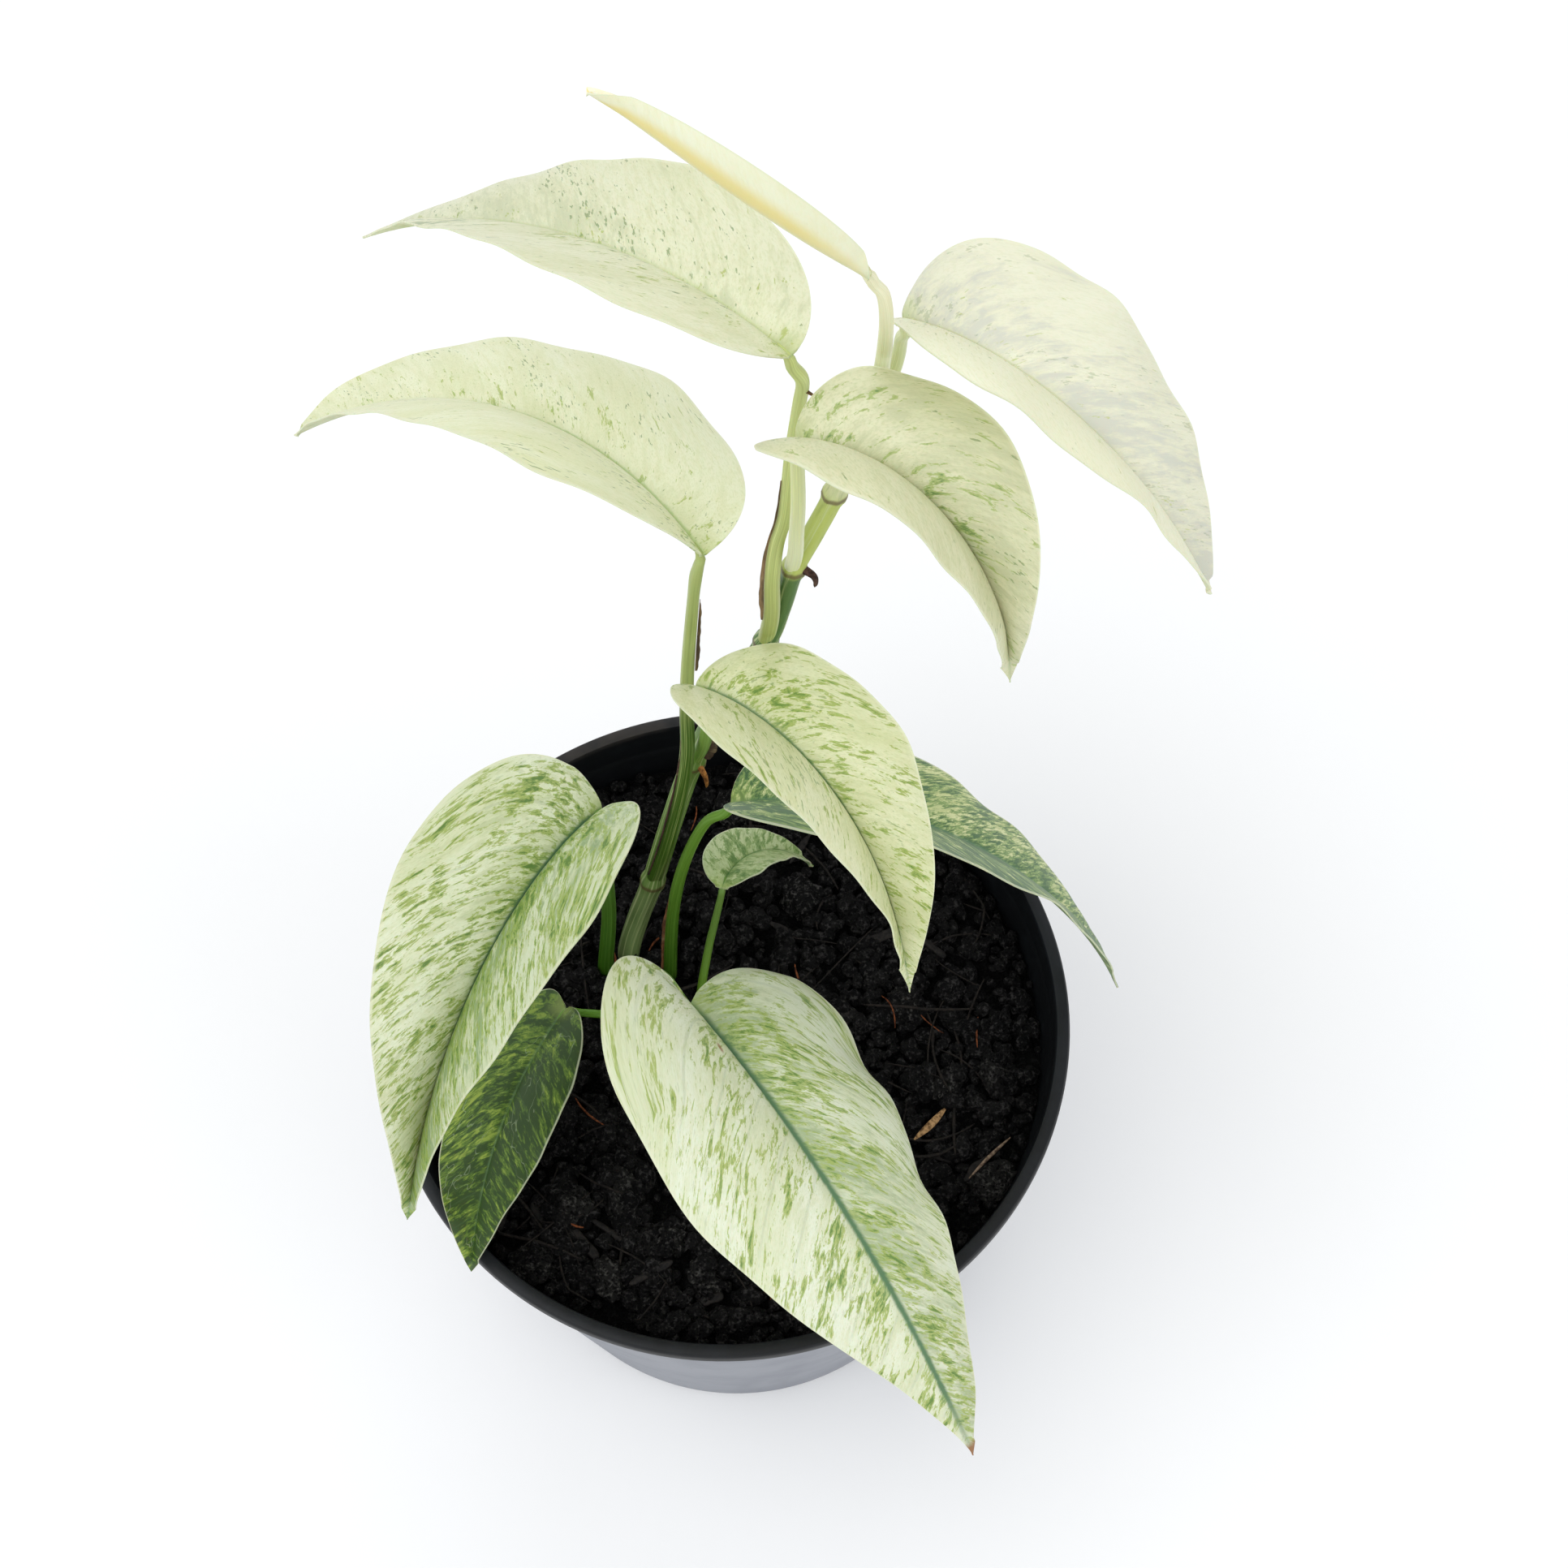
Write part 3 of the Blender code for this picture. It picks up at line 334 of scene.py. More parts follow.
def bump(angle, power):
    # sin a * cos^p a, divided by its own highest value
    peak = math.atan(math.sqrt(1 / power))
    return np.sin(angle) * np.cos(angle) ** power / (math.sin(peak) * math.cos(peak) ** power)


def bladeHalf(leaf, side, along, across, localWidth):
    # each half is an arc: its angle starts at the fold and turns by the curl over the width
    u = along / leaf["length"]
    sign = 1.0 if side == 0 else -1.0
    spine = midribPoints(leaf, u)
    tangent, left, up = midribFrame(leaf, u)
    width = localWidth if leaf["rolled"] else np.full_like(across, leaf["halfWidth"][side])
    narrow = np.clip(localWidth / bladeBuild["rollRoom"], 0.05, 1) if leaf["rolled"] else 1.0
    fold = np.radians(leaf["fold"][side] * (1 - leaf["opening"] * np.clip(u, 0, 1)))
    most = np.arccos(np.clip(bladeBuild["foldRoom"] / localWidth, 0, 1))
    fold = np.clip(fold, -most, most)
    curl = math.radians(leaf["curl"][side]) * narrow
    angle = fold - curl * across / width
    out = width / curl * (np.sin(fold) - np.sin(angle))
    lift = width / curl * (np.cos(angle) - np.cos(fold))
    wave = leaf["wave"] * np.sin(2 * math.pi * leaf["waves"] * u + 1.3 * side)
    lift = lift + wave * (across / width) ** 2
    points = spine + sign * left * out[:, None] + up * lift[:, None]
    return points, up * np.cos(angle)[:, None] - sign * left * np.sin(angle)[:, None]


def bladeMesh(name, leaf, seed, quilt):
    # rows follow the outline's angle from base to tip; columns run from edge to edge
    build = bladeBuild
    rows, columns = build["rows"], build["columns"]
    angles = np.linspace(0, math.pi / 2, rows + 2)[1:-1]
    middle = leaf["length"] * np.sin(angles) ** 2
    shares = np.linspace(0, 1, columns + 1) ** 1.15
    wide = 2 * columns + 1
    grid = np.zeros((rows, wide, 3))
    normal = np.zeros((rows, wide, 3))
    flat = np.zeros((rows, wide, 2))
    rim = np.zeros((rows, wide))
    reach = np.zeros((rows, wide))
    draw = np.random.default_rng(seed)
    phase = draw.uniform(0, 2 * math.pi, 4)
    for side in (0, 1):
        sign = 1 if side == 0 else -1
        edgeAlong = middle + 0 - leaf["lobe"][side] * bump(angles, build["lobeSharpness"])
        edgeAcross = np.maximum(leaf["halfWidth"][side] * bump(angles, leaf["taper"][side] + 1),
                                build["edgeMin"])
        for step, share in enumerate(shares):
            along = middle + (edgeAlong - middle) * share
            across = edgeAcross * share
            points, normals = bladeHalf(leaf, side, along, np.maximum(across, 1e-6), edgeAcross)
            column = columns + sign * step
            grid[:, column], normal[:, column] = points, normals
            flat[:, column] = np.stack([along, sign * across], axis=1)
            rim[:, column] = share
            reach[:, column] = edgeAcross
    y = np.abs(flat[..., 1])
    u = flat[..., 0] / leaf["length"]
    # side veins leave the midrib forwards, less so at the base, and bend on towards the tip
    slope = build["veinSlope"] * np.clip(flat[..., 0] / build["veinTurn"], -0.2, 1)
    veinAlong = flat[..., 0] - slope * y - build["veinCurve"] * y**2
    spacing = leaf["length"] / build["veins"]
    fade = np.clip(rim / 0.15, 0, 1) * np.clip((1 - rim) / 0.25, 0, 1) * np.clip((1 - u) * 4, 0, 1)
    small = min(1.0, leaf["length"] / 80)
    relief = -quilt * small * fade * np.abs(np.cos(math.pi * veinAlong / spacing)) ** 8
    ruffle = rim**3 * (0.35 * np.sin(23 * u + phase[0]) + 0.22 * np.sin(41 * u + phase[1])
                       + 0.3 * np.sin(11 * u + 2.1 * np.sign(flat[..., 1]) + phase[2]))
    swell = 0.35 * np.sin(9 * u + phase[3]) * np.sin(math.pi * rim)
    calm = np.clip(reach / 6, 0, 1) * (0 if leaf["rolled"] else 1)
    lift = relief + small * (ruffle + swell) * calm
    middleSheet = grid + normal * lift[..., None]
    groove = build["groove"] * small * np.exp(-(y / build["grooveWidth"]) ** 2) * (1 - 0.6 * u)
    keel = build["keel"] * small * np.exp(-(y / build["keelWidth"]) ** 2) * np.clip(1 - u, 0, 1) ** 0.6
    half = build["thickness"] / 2 * (1 - 0.35 * rim)
    top = middleSheet + normal * (half - groove)[..., None]
    low = middleSheet - normal * (half + keel * np.clip(10 * u, 0, 1))[..., None]
    ends = midribPoints(leaf, np.array([0.0, 1.0]))
    endUp = midribFrame(leaf, np.array([0.0, 1.0]))[2] * build["thickness"] * 0.4
    points = np.vstack([top.reshape(-1, 3), ends + endUp, low.reshape(-1, 3), ends - endUp])
    layer = rows * wide + 2
    quads = gridQuads(rows, wide)[:, ::-1]
    column = np.arange(wide - 1)
    last = (rows - 1) * wide
    fans = np.vstack([np.stack([column, column + 1, 0 * column + rows * wide], axis=1)[:, ::-1],
                      np.stack([last + column + 1, last + column, 0 * column + rows * wide + 1],
                               axis=1)[:, ::-1]])
    row = np.arange(rows - 1) * wide
    rightEdge = np.concatenate([[rows * wide], np.arange(rows) * wide, [rows * wide + 1]])
    leftEdge = np.concatenate([[rows * wide + 1], np.arange(rows)[::-1] * wide + wide - 1,
                               [rows * wide]])
    walls = [np.stack([edge[:-1], edge[1:], edge[1:] + layer, edge[:-1] + layer], axis=1)
             for edge in (rightEdge, leftEdge)]
    allQuads = np.vstack([quads, quads[:, ::-1] + layer] + [wall[:, ::-1] for wall in walls])
    allFans = np.vstack([fans, fans[:, ::-1] + layer])
    place = np.stack([u, np.sign(flat[..., 1]) * rim, 0 * u], axis=-1).reshape(-1, 3)
    vein = np.stack([veinAlong / 10, flat[..., 1] / 10, 0 * u + seed * 3.7], axis=-1).reshape(-1, 3)
    endPlace = np.array([[0.0, 0, 0], [1.0, 0, 0]])
    endVein = np.array([[0.0, 0, seed * 3.7], [leaf["length"] / 10, 0, seed * 3.7]])
    attributes = {
        "place": np.vstack([place, endPlace, place + [0, 0, 1], endPlace + [0, 0, 1]]),
        "vein": np.vstack([vein, endVein, vein, endVein]),
    }
    mesh = fillMesh(name, points, allQuads, allFans, attributes, sharp=70)
    faceOut(mesh)
    return mesh


def faceOut(mesh):
    shell = bmesh.new()
    shell.from_mesh(mesh)
    bmesh.ops.recalc_face_normals(shell, faces=shell.faces)
    shell.to_mesh(mesh)
    shell.free()


# Colours are read off the photograph region by region. Pairs are (left, right) half.
# cover: share of green marbling; haze: smooth grey-green areas; mottle: fine warm grain;
# speck: share of small sharp marks; vein: strength of the side veins.
leafFinishes = {
    "top_rolled": dict(pale=tint(246, 244, 222), warm=tint(238, 232, 196), soft=tint(214, 216, 150),
                       deep=tint(150, 160, 96), cover=(0.001, 0.001), haze=(0.0, 0.0),
                       hazeTint=tint(214, 220, 200), mottle=0.35, speck=0.1, vein=0.05,
                       ribTint=tint(244, 232, 170), ribWidth=1.0, rib=0.3),
    "upper_left": dict(pale=tint(228, 230, 200), warm=tint(212, 216, 172), soft=tint(172, 186, 106),
                       deep=tint(98, 130, 72), cover=(0.08, 0.04), haze=(0.15, 0.6),
                       hazeTint=tint(192, 200, 166), mottle=0.9, speck=1.0, vein=0.1,
                       ribTint=tint(190, 204, 136), ribWidth=0.9, rib=0.4),
    "middle_left": dict(pale=tint(232, 235, 203), warm=tint(219, 223, 176), soft=tint(174, 191, 108),
                        deep=tint(98, 132, 72), cover=(0.05, 0.07), haze=(0.05, 0.2),
                        hazeTint=tint(200, 208, 172), mottle=0.8, speck=1.0, vein=0.1,
                        ribTint=tint(150, 180, 96), ribWidth=1.0, rib=0.6),
    "upper_centre": dict(pale=tint(222, 223, 190), warm=tint(206, 209, 166), soft=tint(158, 178, 102),
                         deep=tint(102, 134, 74), cover=(0.12, 0.05), haze=(0.5, 0.1),
                         hazeTint=tint(184, 191, 154), mottle=1.0, speck=1.0, vein=0.1,
                         ribTint=tint(136, 168, 96), ribWidth=0.9, rib=0.6),
    "upper_right": dict(pale=tint(236, 236, 210), warm=tint(230, 230, 196), soft=tint(190, 200, 130),
                        deep=tint(118, 144, 90), cover=(0.02, 0.02), haze=(0.9, 0.0),
                        hazeTint=tint(206, 209, 194), mottle=0.7, speck=0.5, vein=0.06,
                        ribTint=tint(194, 204, 150), ribWidth=0.7, rib=0.4),
    "centre": dict(pale=tint(222, 225, 188), warm=tint(204, 210, 156), soft=tint(148, 170, 72),
                   deep=tint(94, 132, 52), cover=(0.22, 0.12), haze=(0.3, 0.15),
                   hazeTint=tint(186, 196, 150), mottle=0.8, speck=0.8, vein=0.15,
                   ribTint=tint(96, 134, 82), ribWidth=1.1, rib=0.85),
    "left": dict(pale=tint(233, 238, 213), warm=tint(210, 217, 170), soft=tint(154, 175, 82),
                 deep=tint(84, 124, 54), cover=(0.44, 0.36), haze=(1.1, 0.3),
                 hazeTint=tint(148, 170, 124), mottle=0.6, speck=0.3, vein=0.35,
                 ribTint=tint(88, 124, 88), ribWidth=1.4, rib=1.0),
    "low_left": dict(pale=tint(152, 172, 68), warm=tint(122, 146, 46), soft=tint(78, 112, 30),
                     deep=tint(34, 62, 14), cover=(0.86, 0.70), haze=(0.15, 0.1),
                     hazeTint=tint(58, 90, 44), mottle=0.6, speck=0.3, vein=0.3,
                     ribTint=tint(92, 124, 74), ribWidth=0.9, rib=0.5),
    "front": dict(pale=tint(232, 236, 214), warm=tint(214, 220, 178), soft=tint(162, 181, 90),
                  deep=tint(96, 134, 62), cover=(0.34, 0.28), haze=(0.8, 0.15),
                  hazeTint=tint(168, 184, 144), mottle=0.6, speck=0.3, vein=0.35,
                  ribTint=tint(88, 124, 86), ribWidth=2.0, rib=1.0),
    "right": dict(pale=tint(220, 222, 166), warm=tint(196, 205, 126), soft=tint(108, 144, 66),
                  deep=tint(46, 92, 46), cover=(0.62, 0.84), haze=(0.25, 0.35),
                  hazeTint=tint(88, 128, 92), mottle=0.6, speck=0.3, vein=0.3,
                  ribTint=tint(84, 126, 88), ribWidth=1.2, rib=0.7),
    "small": dict(pale=tint(196, 208, 160), warm=tint(172, 190, 128), soft=tint(128, 156, 84),
                  deep=tint(84, 122, 52), cover=(0.42, 0.50), haze=(0.15, 0.2),
                  hazeTint=tint(150, 172, 116), mottle=0.8, speck=0.3, vein=0.2,
                  ribTint=tint(96, 136, 76), ribWidth=0.7, rib=0.6),
}


def coverLevel(share):
    # threshold shift that lets this share of the marbling noise through
    return 0.03 + 0.105 * statistics.NormalDist().inv_cdf(share)


def leafSkin(key, finish):
    board = Board("leafSkin_" + key)
    u, v, under = board.split(board.attribute("place"))
    veinPlace = board.attribute("vein")
    p, q, _ = board.split(veinPlace)                 # centimetres along and across the midrib
    away = abs(q)
    leftHalf = v.ramp(-0.05, 0.05)
    cloud = board.noise(board.scaled(veinPlace, (0.6, 0.5, 1)), 1.0, 3.0, 0.6)
    grain = board.noise(board.scaled(veinPlace, (34, 20, 1)), 1.0, 2.0, 0.6)
    wisp = board.noise(board.scaled(veinPlace, (6.5, 2.6, 1), (4, 1, 0)), 1.0, 5.0, 0.68, 0.4)
    colour = board.mix(cloud.ramp(0.40, 0.62) * 0.55, finish["pale"], finish["warm"])
    colour = board.mix(wisp.ramp(0.44, 0.62) * 0.45, colour, finish["warm"])
    colour = board.mix(grain.ramp(0.46, 0.66) * (finish["mottle"] * 0.24), colour, finish["soft"])
    # smooth grey-green areas, streaked along the side veins
    left, right = finish["haze"]
    haze = (cloud * 0.7 + wisp * 0.9 - away * 0.10).ramp(0.62, 0.95)
    haze = (haze + 0.3) * (leftHalf * (left - right) + right)
    colour = board.mix(haze.least(1.0), colour, finish["hazeTint"])
    # marbling: clusters of small marks along the side veins, light at the fringes, deep inside
    mark = board.noise(board.scaled(veinPlace, (8.0, 3.4, 1), (0, 5, 0)), 1.0, 5.0, 0.68, 0.5)
    patch = board.noise(board.scaled(veinPlace, (1.2, 0.9, 1), (7, 3, 0)), 1.0, 3.0, 0.6)
    low, high = (coverLevel(share) for share in (finish["cover"][1], finish["cover"][0]))
    level = leftHalf * (high - low) + low
    level = level + away.ramp(0.0, 1.4, 0.035, -0.01)
    field = mark + (patch - 0.5) * 0.42 + (grain - 0.5) * 0.14 + level
    colour = board.mix(field.ramp(0.49, 0.55) * 0.85, colour, finish["soft"])
    colour = board.mix(field.ramp(0.56, 0.67) * 0.9, colour, finish["deep"])
    # small sharp marks, more of them in some places
    dots = board.noise(board.scaled(veinPlace, (14, 7, 1), (0, 0, 2)), 1.0, 3.0, 0.55)
    many = board.noise(board.scaled(veinPlace, (0.8, 0.8, 1), (8, 0, 0)), 1.0, 2.0)
    dot = (dots + (many - 0.5) * 0.60).ramp(0.665, 0.71) * (0.65 * finish["speck"])
    colour = board.mix(dot, colour, finish["deep"])
    # side veins: faint lines; midrib: a soft line that narrows towards the tip
    spacing = leafShapes[key]["length"] / (10 * bladeBuild["veins"])
    ripple = abs(((p + cloud * 0.3) * (math.pi / spacing)).calc("COSINE"))
    line = ripple.ramp(0.990, 0.9995) * away.ramp(0.03, 0.2) * abs(v).ramp(0.6, 0.95, 1.0, 0.0)
    colour = board.mix(line * (finish["vein"] * 0.45), colour, finish["ribTint"])
    half = (1.0 - u * 0.6) * (finish["ribWidth"] / 20)
    edge = (away + (wisp - 0.5) * 0.10) / half
    colour = board.mix(edge.ramp(1.0, 4.5, 1.0, 0.0) * 0.3 * finish["rib"], colour,
                       finish["hazeTint"])
    fade = u.ramp(0.86, 0.98, 1.0, 0.35)
    colour = board.mix(edge.ramp(0.3, 1.7, 1.0, 0.0) * fade * finish["rib"], colour,
                       finish["ribTint"])
    # the base runs into the stalk's colour, and the rim is a thin pale line
    colour = board.mix(u.ramp(0.0, 0.07, 1.0, 0.0) * away.ramp(0.1, 0.6, 1.0, 0.0) * 0.4, colour,
                       tint(176, 194, 104))
    colour = board.mix(abs(v).ramp(0.965, 0.99) * 0.6, colour, tint(226, 229, 200))
    if key == "top_rolled":
        band = v + (cloud - 0.5) * 0.2
        glow = band.ramp(0.25, 0.50) * band.ramp(0.56, 0.78, 1.0, 0.0) * u.ramp(0.02, 0.3, 0.4, 1.0)
        colour = board.mix(glow * 0.85, colour, tint(240, 214, 116))
    if key == "front":
        colour = board.mix((u + wisp * 0.02).ramp(0.982, 0.994), colour, tint(150, 112, 78))
        spotX, spotY = p - 1.6, q + 0.55
        spot = (spotX * spotX * 9 + spotY * spotY * 40 + wisp * 0.5).ramp(0.25, 0.5, 1.0, 0.0)
        colour = board.mix(spot * 0.8, colour, tint(150, 92, 62))
    if key == "low_left":
        # painted sheen: thin whitish lines over this leaf stand in for the light it reflects
        sheenContour = abs(board.noise(board.scaled(veinPlace, (1.6, 2.2, 1), (2, 9, 0)), 1.0, 2.0) - 0.5)
        paintedSheen = sheenContour.ramp(0.0, 0.010, 1.0, 0.0) * many.ramp(0.46, 0.58)
        colour = board.mix(paintedSheen * 0.55, colour, tint(158, 174, 138))
    # the underside is paler and greyer
    colour = board.mix(under * 0.35, colour, tint(188, 202, 158))
    height = grain * 0.35 + wisp * 0.3 - ripple.ramp(0.985, 1.0) * finish["vein"]
    rough = 0.42 + wisp * 0.08 + under * 0.18
    return board.finish(Base_Color=colour, Roughness=rough, Normal=board.bump(height, 0.35, 0.2),
                        Subsurface_Weight=0.1, Subsurface_Scale=0.002,
                        Specular_IOR_Level=0.4, Coat_Weight=0.05, Coat_Roughness=0.4)


# Stalks: the same lines as in the solids, with a channel along the upper side

stalkShapes = {
    "top_rolled": dict(path=[(33, 39, 311), (33.1, 35.2, 327), (32.8, 32.3, 340), (32.1, 32, 347)],
                       radii=(1.4, 1.1), fromSoil=False,
                       foot=tint(218, 222, 170), head=tint(236, 234, 196)),
    "upper_left": dict(path=[(13, 40, 220), (14, 36.4, 238), (14.2, 34.8, 255), (15.2, 36.6, 264),
                             (17, 37.8, 273), (18.2, 37.8, 292), (19.4, 36.2, 310),
                             (19.8, 34, 321)],
                       radii=(1.7, 1.1), fromSoil=False,
                       foot=tint(166, 176, 100), head=tint(190, 200, 128)),
    "middle_left": dict(path=[(-14, 32, 125), (-10, 32, 146), (-6, 34, 167), (-4, 36, 182),
                              (-3.5, 38.5, 194), (-3, 39, 205), (-2, 39.5, 220), (0, 38.5, 247)],
                        radii=(1.9, 1.1), fromSoil=False, change=(0.46, 0.62),
                        foot=tint(62, 94, 22), head=tint(166, 179, 108)),
    "upper_centre": dict(path=[(18, 37.5, 253), (18.4, 33.4, 266), (18.4, 31, 276),
                               (18.4, 26.4, 295), (18.2, 24.4, 309)],
                         radii=(1.5, 1.2), fromSoil=False,
                         foot=tint(222, 226, 186), head=tint(206, 212, 150)),
    "upper_right": dict(path=[(29.8, 38.6, 296.5), (33.6, 43, 298.6), (35.9, 45.6, 303),
                              (36.8, 45.5, 309), (37, 44.2, 316)],
                        radii=(1.4, 1.1), fromSoil=False,
                        foot=tint(196, 204, 132), head=tint(214, 220, 170)),
    "centre": dict(path=[(-3, 41, 166), (-0.5, 37.5, 182), (0.5, 34.5, 199), (-0.5, 31, 215)],
                   radii=(1.5, 1.1), fromSoil=False,
                   foot=tint(112, 150, 60), head=tint(150, 178, 96)),
    "left": dict(path=[(-26.5, 20, 92), (-26.5, 20, 104), (-24.5, 26.4, 119),
                       (-23.8, 29.8, 134), (-22.6, 31.5, 152)],
                 radii=(1.9, 1.3), fromSoil=True,
                 foot=tint(46, 88, 4), head=tint(98, 138, 54)),
    "low_left": dict(path=[(-17, 9, 92), (-17, 9, 104), (-20, 4, 119), (-24.5, 0, 128)],
                     radii=(1.2, 0.9), fromSoil=True,
                     foot=tint(60, 104, 14), head=tint(96, 144, 34)),
    "front": dict(path=[(-19, 16, 92), (-19, 16, 104), (-16.5, 10, 125), (-12.5, 1, 144)],
                  radii=(1.9, 1.4), fromSoil=True,
                  foot=tint(50, 94, 5), head=tint(110, 148, 62)),
    "right": dict(path=[(-12, 18.5, 92), (-12, 18.5, 104), (-10, 25, 124), (-6.5, 29, 141),
                        (-1.5, 30.5, 157)],
                  radii=(1.7, 1.1), fromSoil=True,
                  foot=tint(50, 92, 10), head=tint(104, 146, 48)),
    "small": dict(path=[(-5.5, 12, 92), (-5.5, 12, 104), (-3, 18.4, 115), (-1.3, 21.3, 122)],
                  radii=(1.1, 0.8), fromSoil=True,
                  foot=tint(104, 148, 30), head=tint(110, 146, 66)),
}

neck = dict(length=9.0, radius=0.28, ringEvery=1.1, sides=20)


def stalkLine(stalk, leaf):
    # from the foot, under the blade's base, and out inside the midrib
    base = np.array(leaf["base"], dtype=float)
    tangent, _, up = midribFrame(leaf, np.array([0.0]))
    knots = [np.array(point, dtype=float) for point in stalk["path"]]
    approach = (base - knots[-1]) / np.linalg.norm(base - knots[-1])
    knots += [base - 2.6 * approach - 1.1 * up[0], base + 0.3 * tangent[0] - 0.75 * up[0],
              base + 3.0 * tangent[0] - 0.15 * up[0]]
    fine = smoothPath(knots, 400)
    length = float(np.sum(np.linalg.norm(np.diff(fine, axis=0), axis=1)))
    rings = int(length / neck["ringEvery"])
    share = np.linspace(0, 1, rings)
    bend = 1 - neck["length"] / length
    near = 1 - 3.0 / length
    radii = np.interp(share, [0, bend, near, 1],
                      [*stalk["radii"], 0.85 * stalk["radii"][1], neck["radius"]])
    return evenly(fine, share), radii


def stalkMesh(name, stalk, leaf):
    path, radii = stalkLine(stalk, leaf)
    sides = neck["sides"]
    angle = np.arange(sides) * 2 * math.pi / sides
    share = np.linspace(0, 1, len(path))[:, None]
    # a shallow channel at one side, deepest low down, and a slightly swollen knee at the top
    channel = 0.16 * np.exp(-((np.angle(np.exp(1j * (angle + math.pi / 2)))) / 0.42) ** 2)
    knee = 0.12 * np.exp(-((share - 0.93) / 0.035) ** 2)
    shape = 1.0 - channel[None, :] * (1 - share) ** 0.5 + knee + 0 * angle[None, :]
    return tubeMesh(name, path, radii, sides, shape=shape)


def stalkSkin(name, foot, head, change):
    board = Board(name)
    share, angle, _ = board.split(board.attribute("place"))
    around = board.attribute("around")
    lines = board.noise(board.scaled(around, (3.2, 3.2, 0.12)), 1.7, 4.0, 0.6)
    blush = board.noise(board.scaled(around, (0.8, 0.8, 0.35)), 1.0, 2.0)
    colour = board.mix(share.ramp(*change), foot, head)
    light = tuple(min(1, 1.35 * c + 0.02) for c in head)
    colour = board.mix(lines.ramp(0.48, 0.66) * 0.5, colour, light)
    colour = board.mix(lines.ramp(0.30, 0.42, 1.0, 0.0) * 0.4, colour,
                       tuple(0.62 * c for c in foot))
    colour = board.mix(blush.ramp(0.5, 0.75) * 0.25, colour, light)
    speck = board.noise(board.scaled(around, (5, 5, 2.2)), 3.0, 2.0)
    colour = board.mix(speck.ramp(0.70, 0.76) * 0.35, colour, tint(70, 92, 40))
    normal = board.bump(lines * 0.7 + speck * 0.2, 0.3, 0.2)
    return board.finish(Base_Color=colour, Roughness=0.36 + speck * 0.12, Normal=normal,
                        Subsurface_Weight=0.1, Subsurface_Scale=0.001,
                        Specular_IOR_Level=0.35, Coat_Weight=0.04, Coat_Roughness=0.3)


leafSlots = {row["node"][5:]: row["material_slot"] for row in frame["record"]["subparts"]
             if row["node"].startswith("leaf_")}

for number, (key, leaf) in enumerate(leafShapes.items()):
    finish = leafFinishes[key]
    quilt = bladeBuild["quilt"] * min(1, 3 * finish["vein"])
    placePiece("blade_" + key, bladeMesh("blade_" + key, leaf, number + 1, quilt),
               leafSkin(key, finish), leafSlots[key], "leaf_" + key)
    stalk = stalkShapes[key]
    placePiece("stalk_" + key, stalkMesh("stalk_" + key, stalk, leaf),
               stalkSkin("stalkSkin_" + key, stalk["foot"], stalk["head"],
                         stalk.get("change", (0.05, 0.85))),
               "stem_skin", "leaf_" + key)
print("leaves and stalks made")


# Stem: leans back, with a raised ring at each node

stem = dict(
    path=[(-21, 24, 92), (-21, 24, 104), (-18, 28.5, 113), (-14, 32, 125), (-8.5, 37, 146),
          (-3, 41, 166), (4.5, 41.5, 193), (13, 40, 220), (16, 39, 236), (18.4, 37.5, 253),
          (22.2, 38, 265), (25.8, 38.5, 277), (30, 38.5, 297), (33, 39, 313)],
    radii=(2.5, 1.8), nodes=(125, 166, 220, 253, 277, 297), ring=0.5, ringLength=1.6,
    sides=28, rings=230)


def stemMesh(name):
    # radius falls evenly with height and adds ring * exp(-(dz / length)^2) at each node
    path = smoothPath(stem["path"], stem["rings"])
    z = path[:, 2]
    low, high = stem["path"][1][2], stem["path"][-1][2]
    radius = np.interp(z, [low, high], stem["radii"])
    for node in stem["nodes"]:
        radius = radius + stem["ring"] * np.exp(-((z - node) / stem["ringLength"]) ** 2)
        radius = radius - 0.12 * np.exp(-((z - node - 2.6) / 0.7) ** 2)
    angle = np.arange(stem["sides"]) * 2 * math.pi / stem["sides"]
    ribs = 1 + 0.02 * np.sin(7 * angle)[None, :] + 0 * z[:, None]
    return tubeMesh(name, path, radius, stem["sides"], shape=ribs)


def stemSkin():
    board = Board("stemSkin")
    z = board.split(board.objectPlace())[2] * 1000
    around = board.attribute("around")
    lines = board.noise(board.scaled(around, (2.6, 2.6, 0.10)), 1.6, 4.0, 0.6)
    cloud = board.noise(board.scaled(around, (0.8, 0.8, 0.6)), 1.3, 3.0)
    colour = board.mix(z.ramp(120, 130), tint(118, 140, 84), tint(104, 136, 58))
    colour = board.mix(z.ramp(170, 240), colour, tint(74, 110, 52))
    colour = board.mix(z.ramp(251, 255), colour, tint(184, 196, 102))
    colour = board.mix(z.ramp(276, 280), colour, tint(212, 214, 168))
    colour = board.mix(lines.ramp(0.50, 0.63) * 0.75, colour, tint(196, 206, 150))
    colour = board.mix(cloud.ramp(0.55, 0.72) * 0.35, colour, tint(54, 90, 34))
    for node in stem["nodes"]:
        mark = abs(z + cloud * 1.2 - (node + 0.9)).ramp(0.25, 1.0, 1.0, 0.0)
        colour = board.mix(mark * 0.8, colour, tint(96, 74, 46))
    speck = board.noise(board.scaled(around, (5, 5, 2.5)), 2.6, 2.0)
    colour = board.mix(speck.ramp(0.68, 0.74) * 0.4, colour, tint(70, 74, 38))
    normal = board.bump(lines * 0.8 + speck * 0.3, 0.4, 0.25)
    return board.finish(Base_Color=colour, Roughness=0.42 + speck * 0.15, Normal=normal,
                        Specular_IOR_Level=0.45)


placePiece("stem_fine", stemMesh("stem_fine"), stemSkin(), "stem_skin", "stem")
print("stem made")


# Papery sheath edges: narrow curled strips beside a stalk or the stem

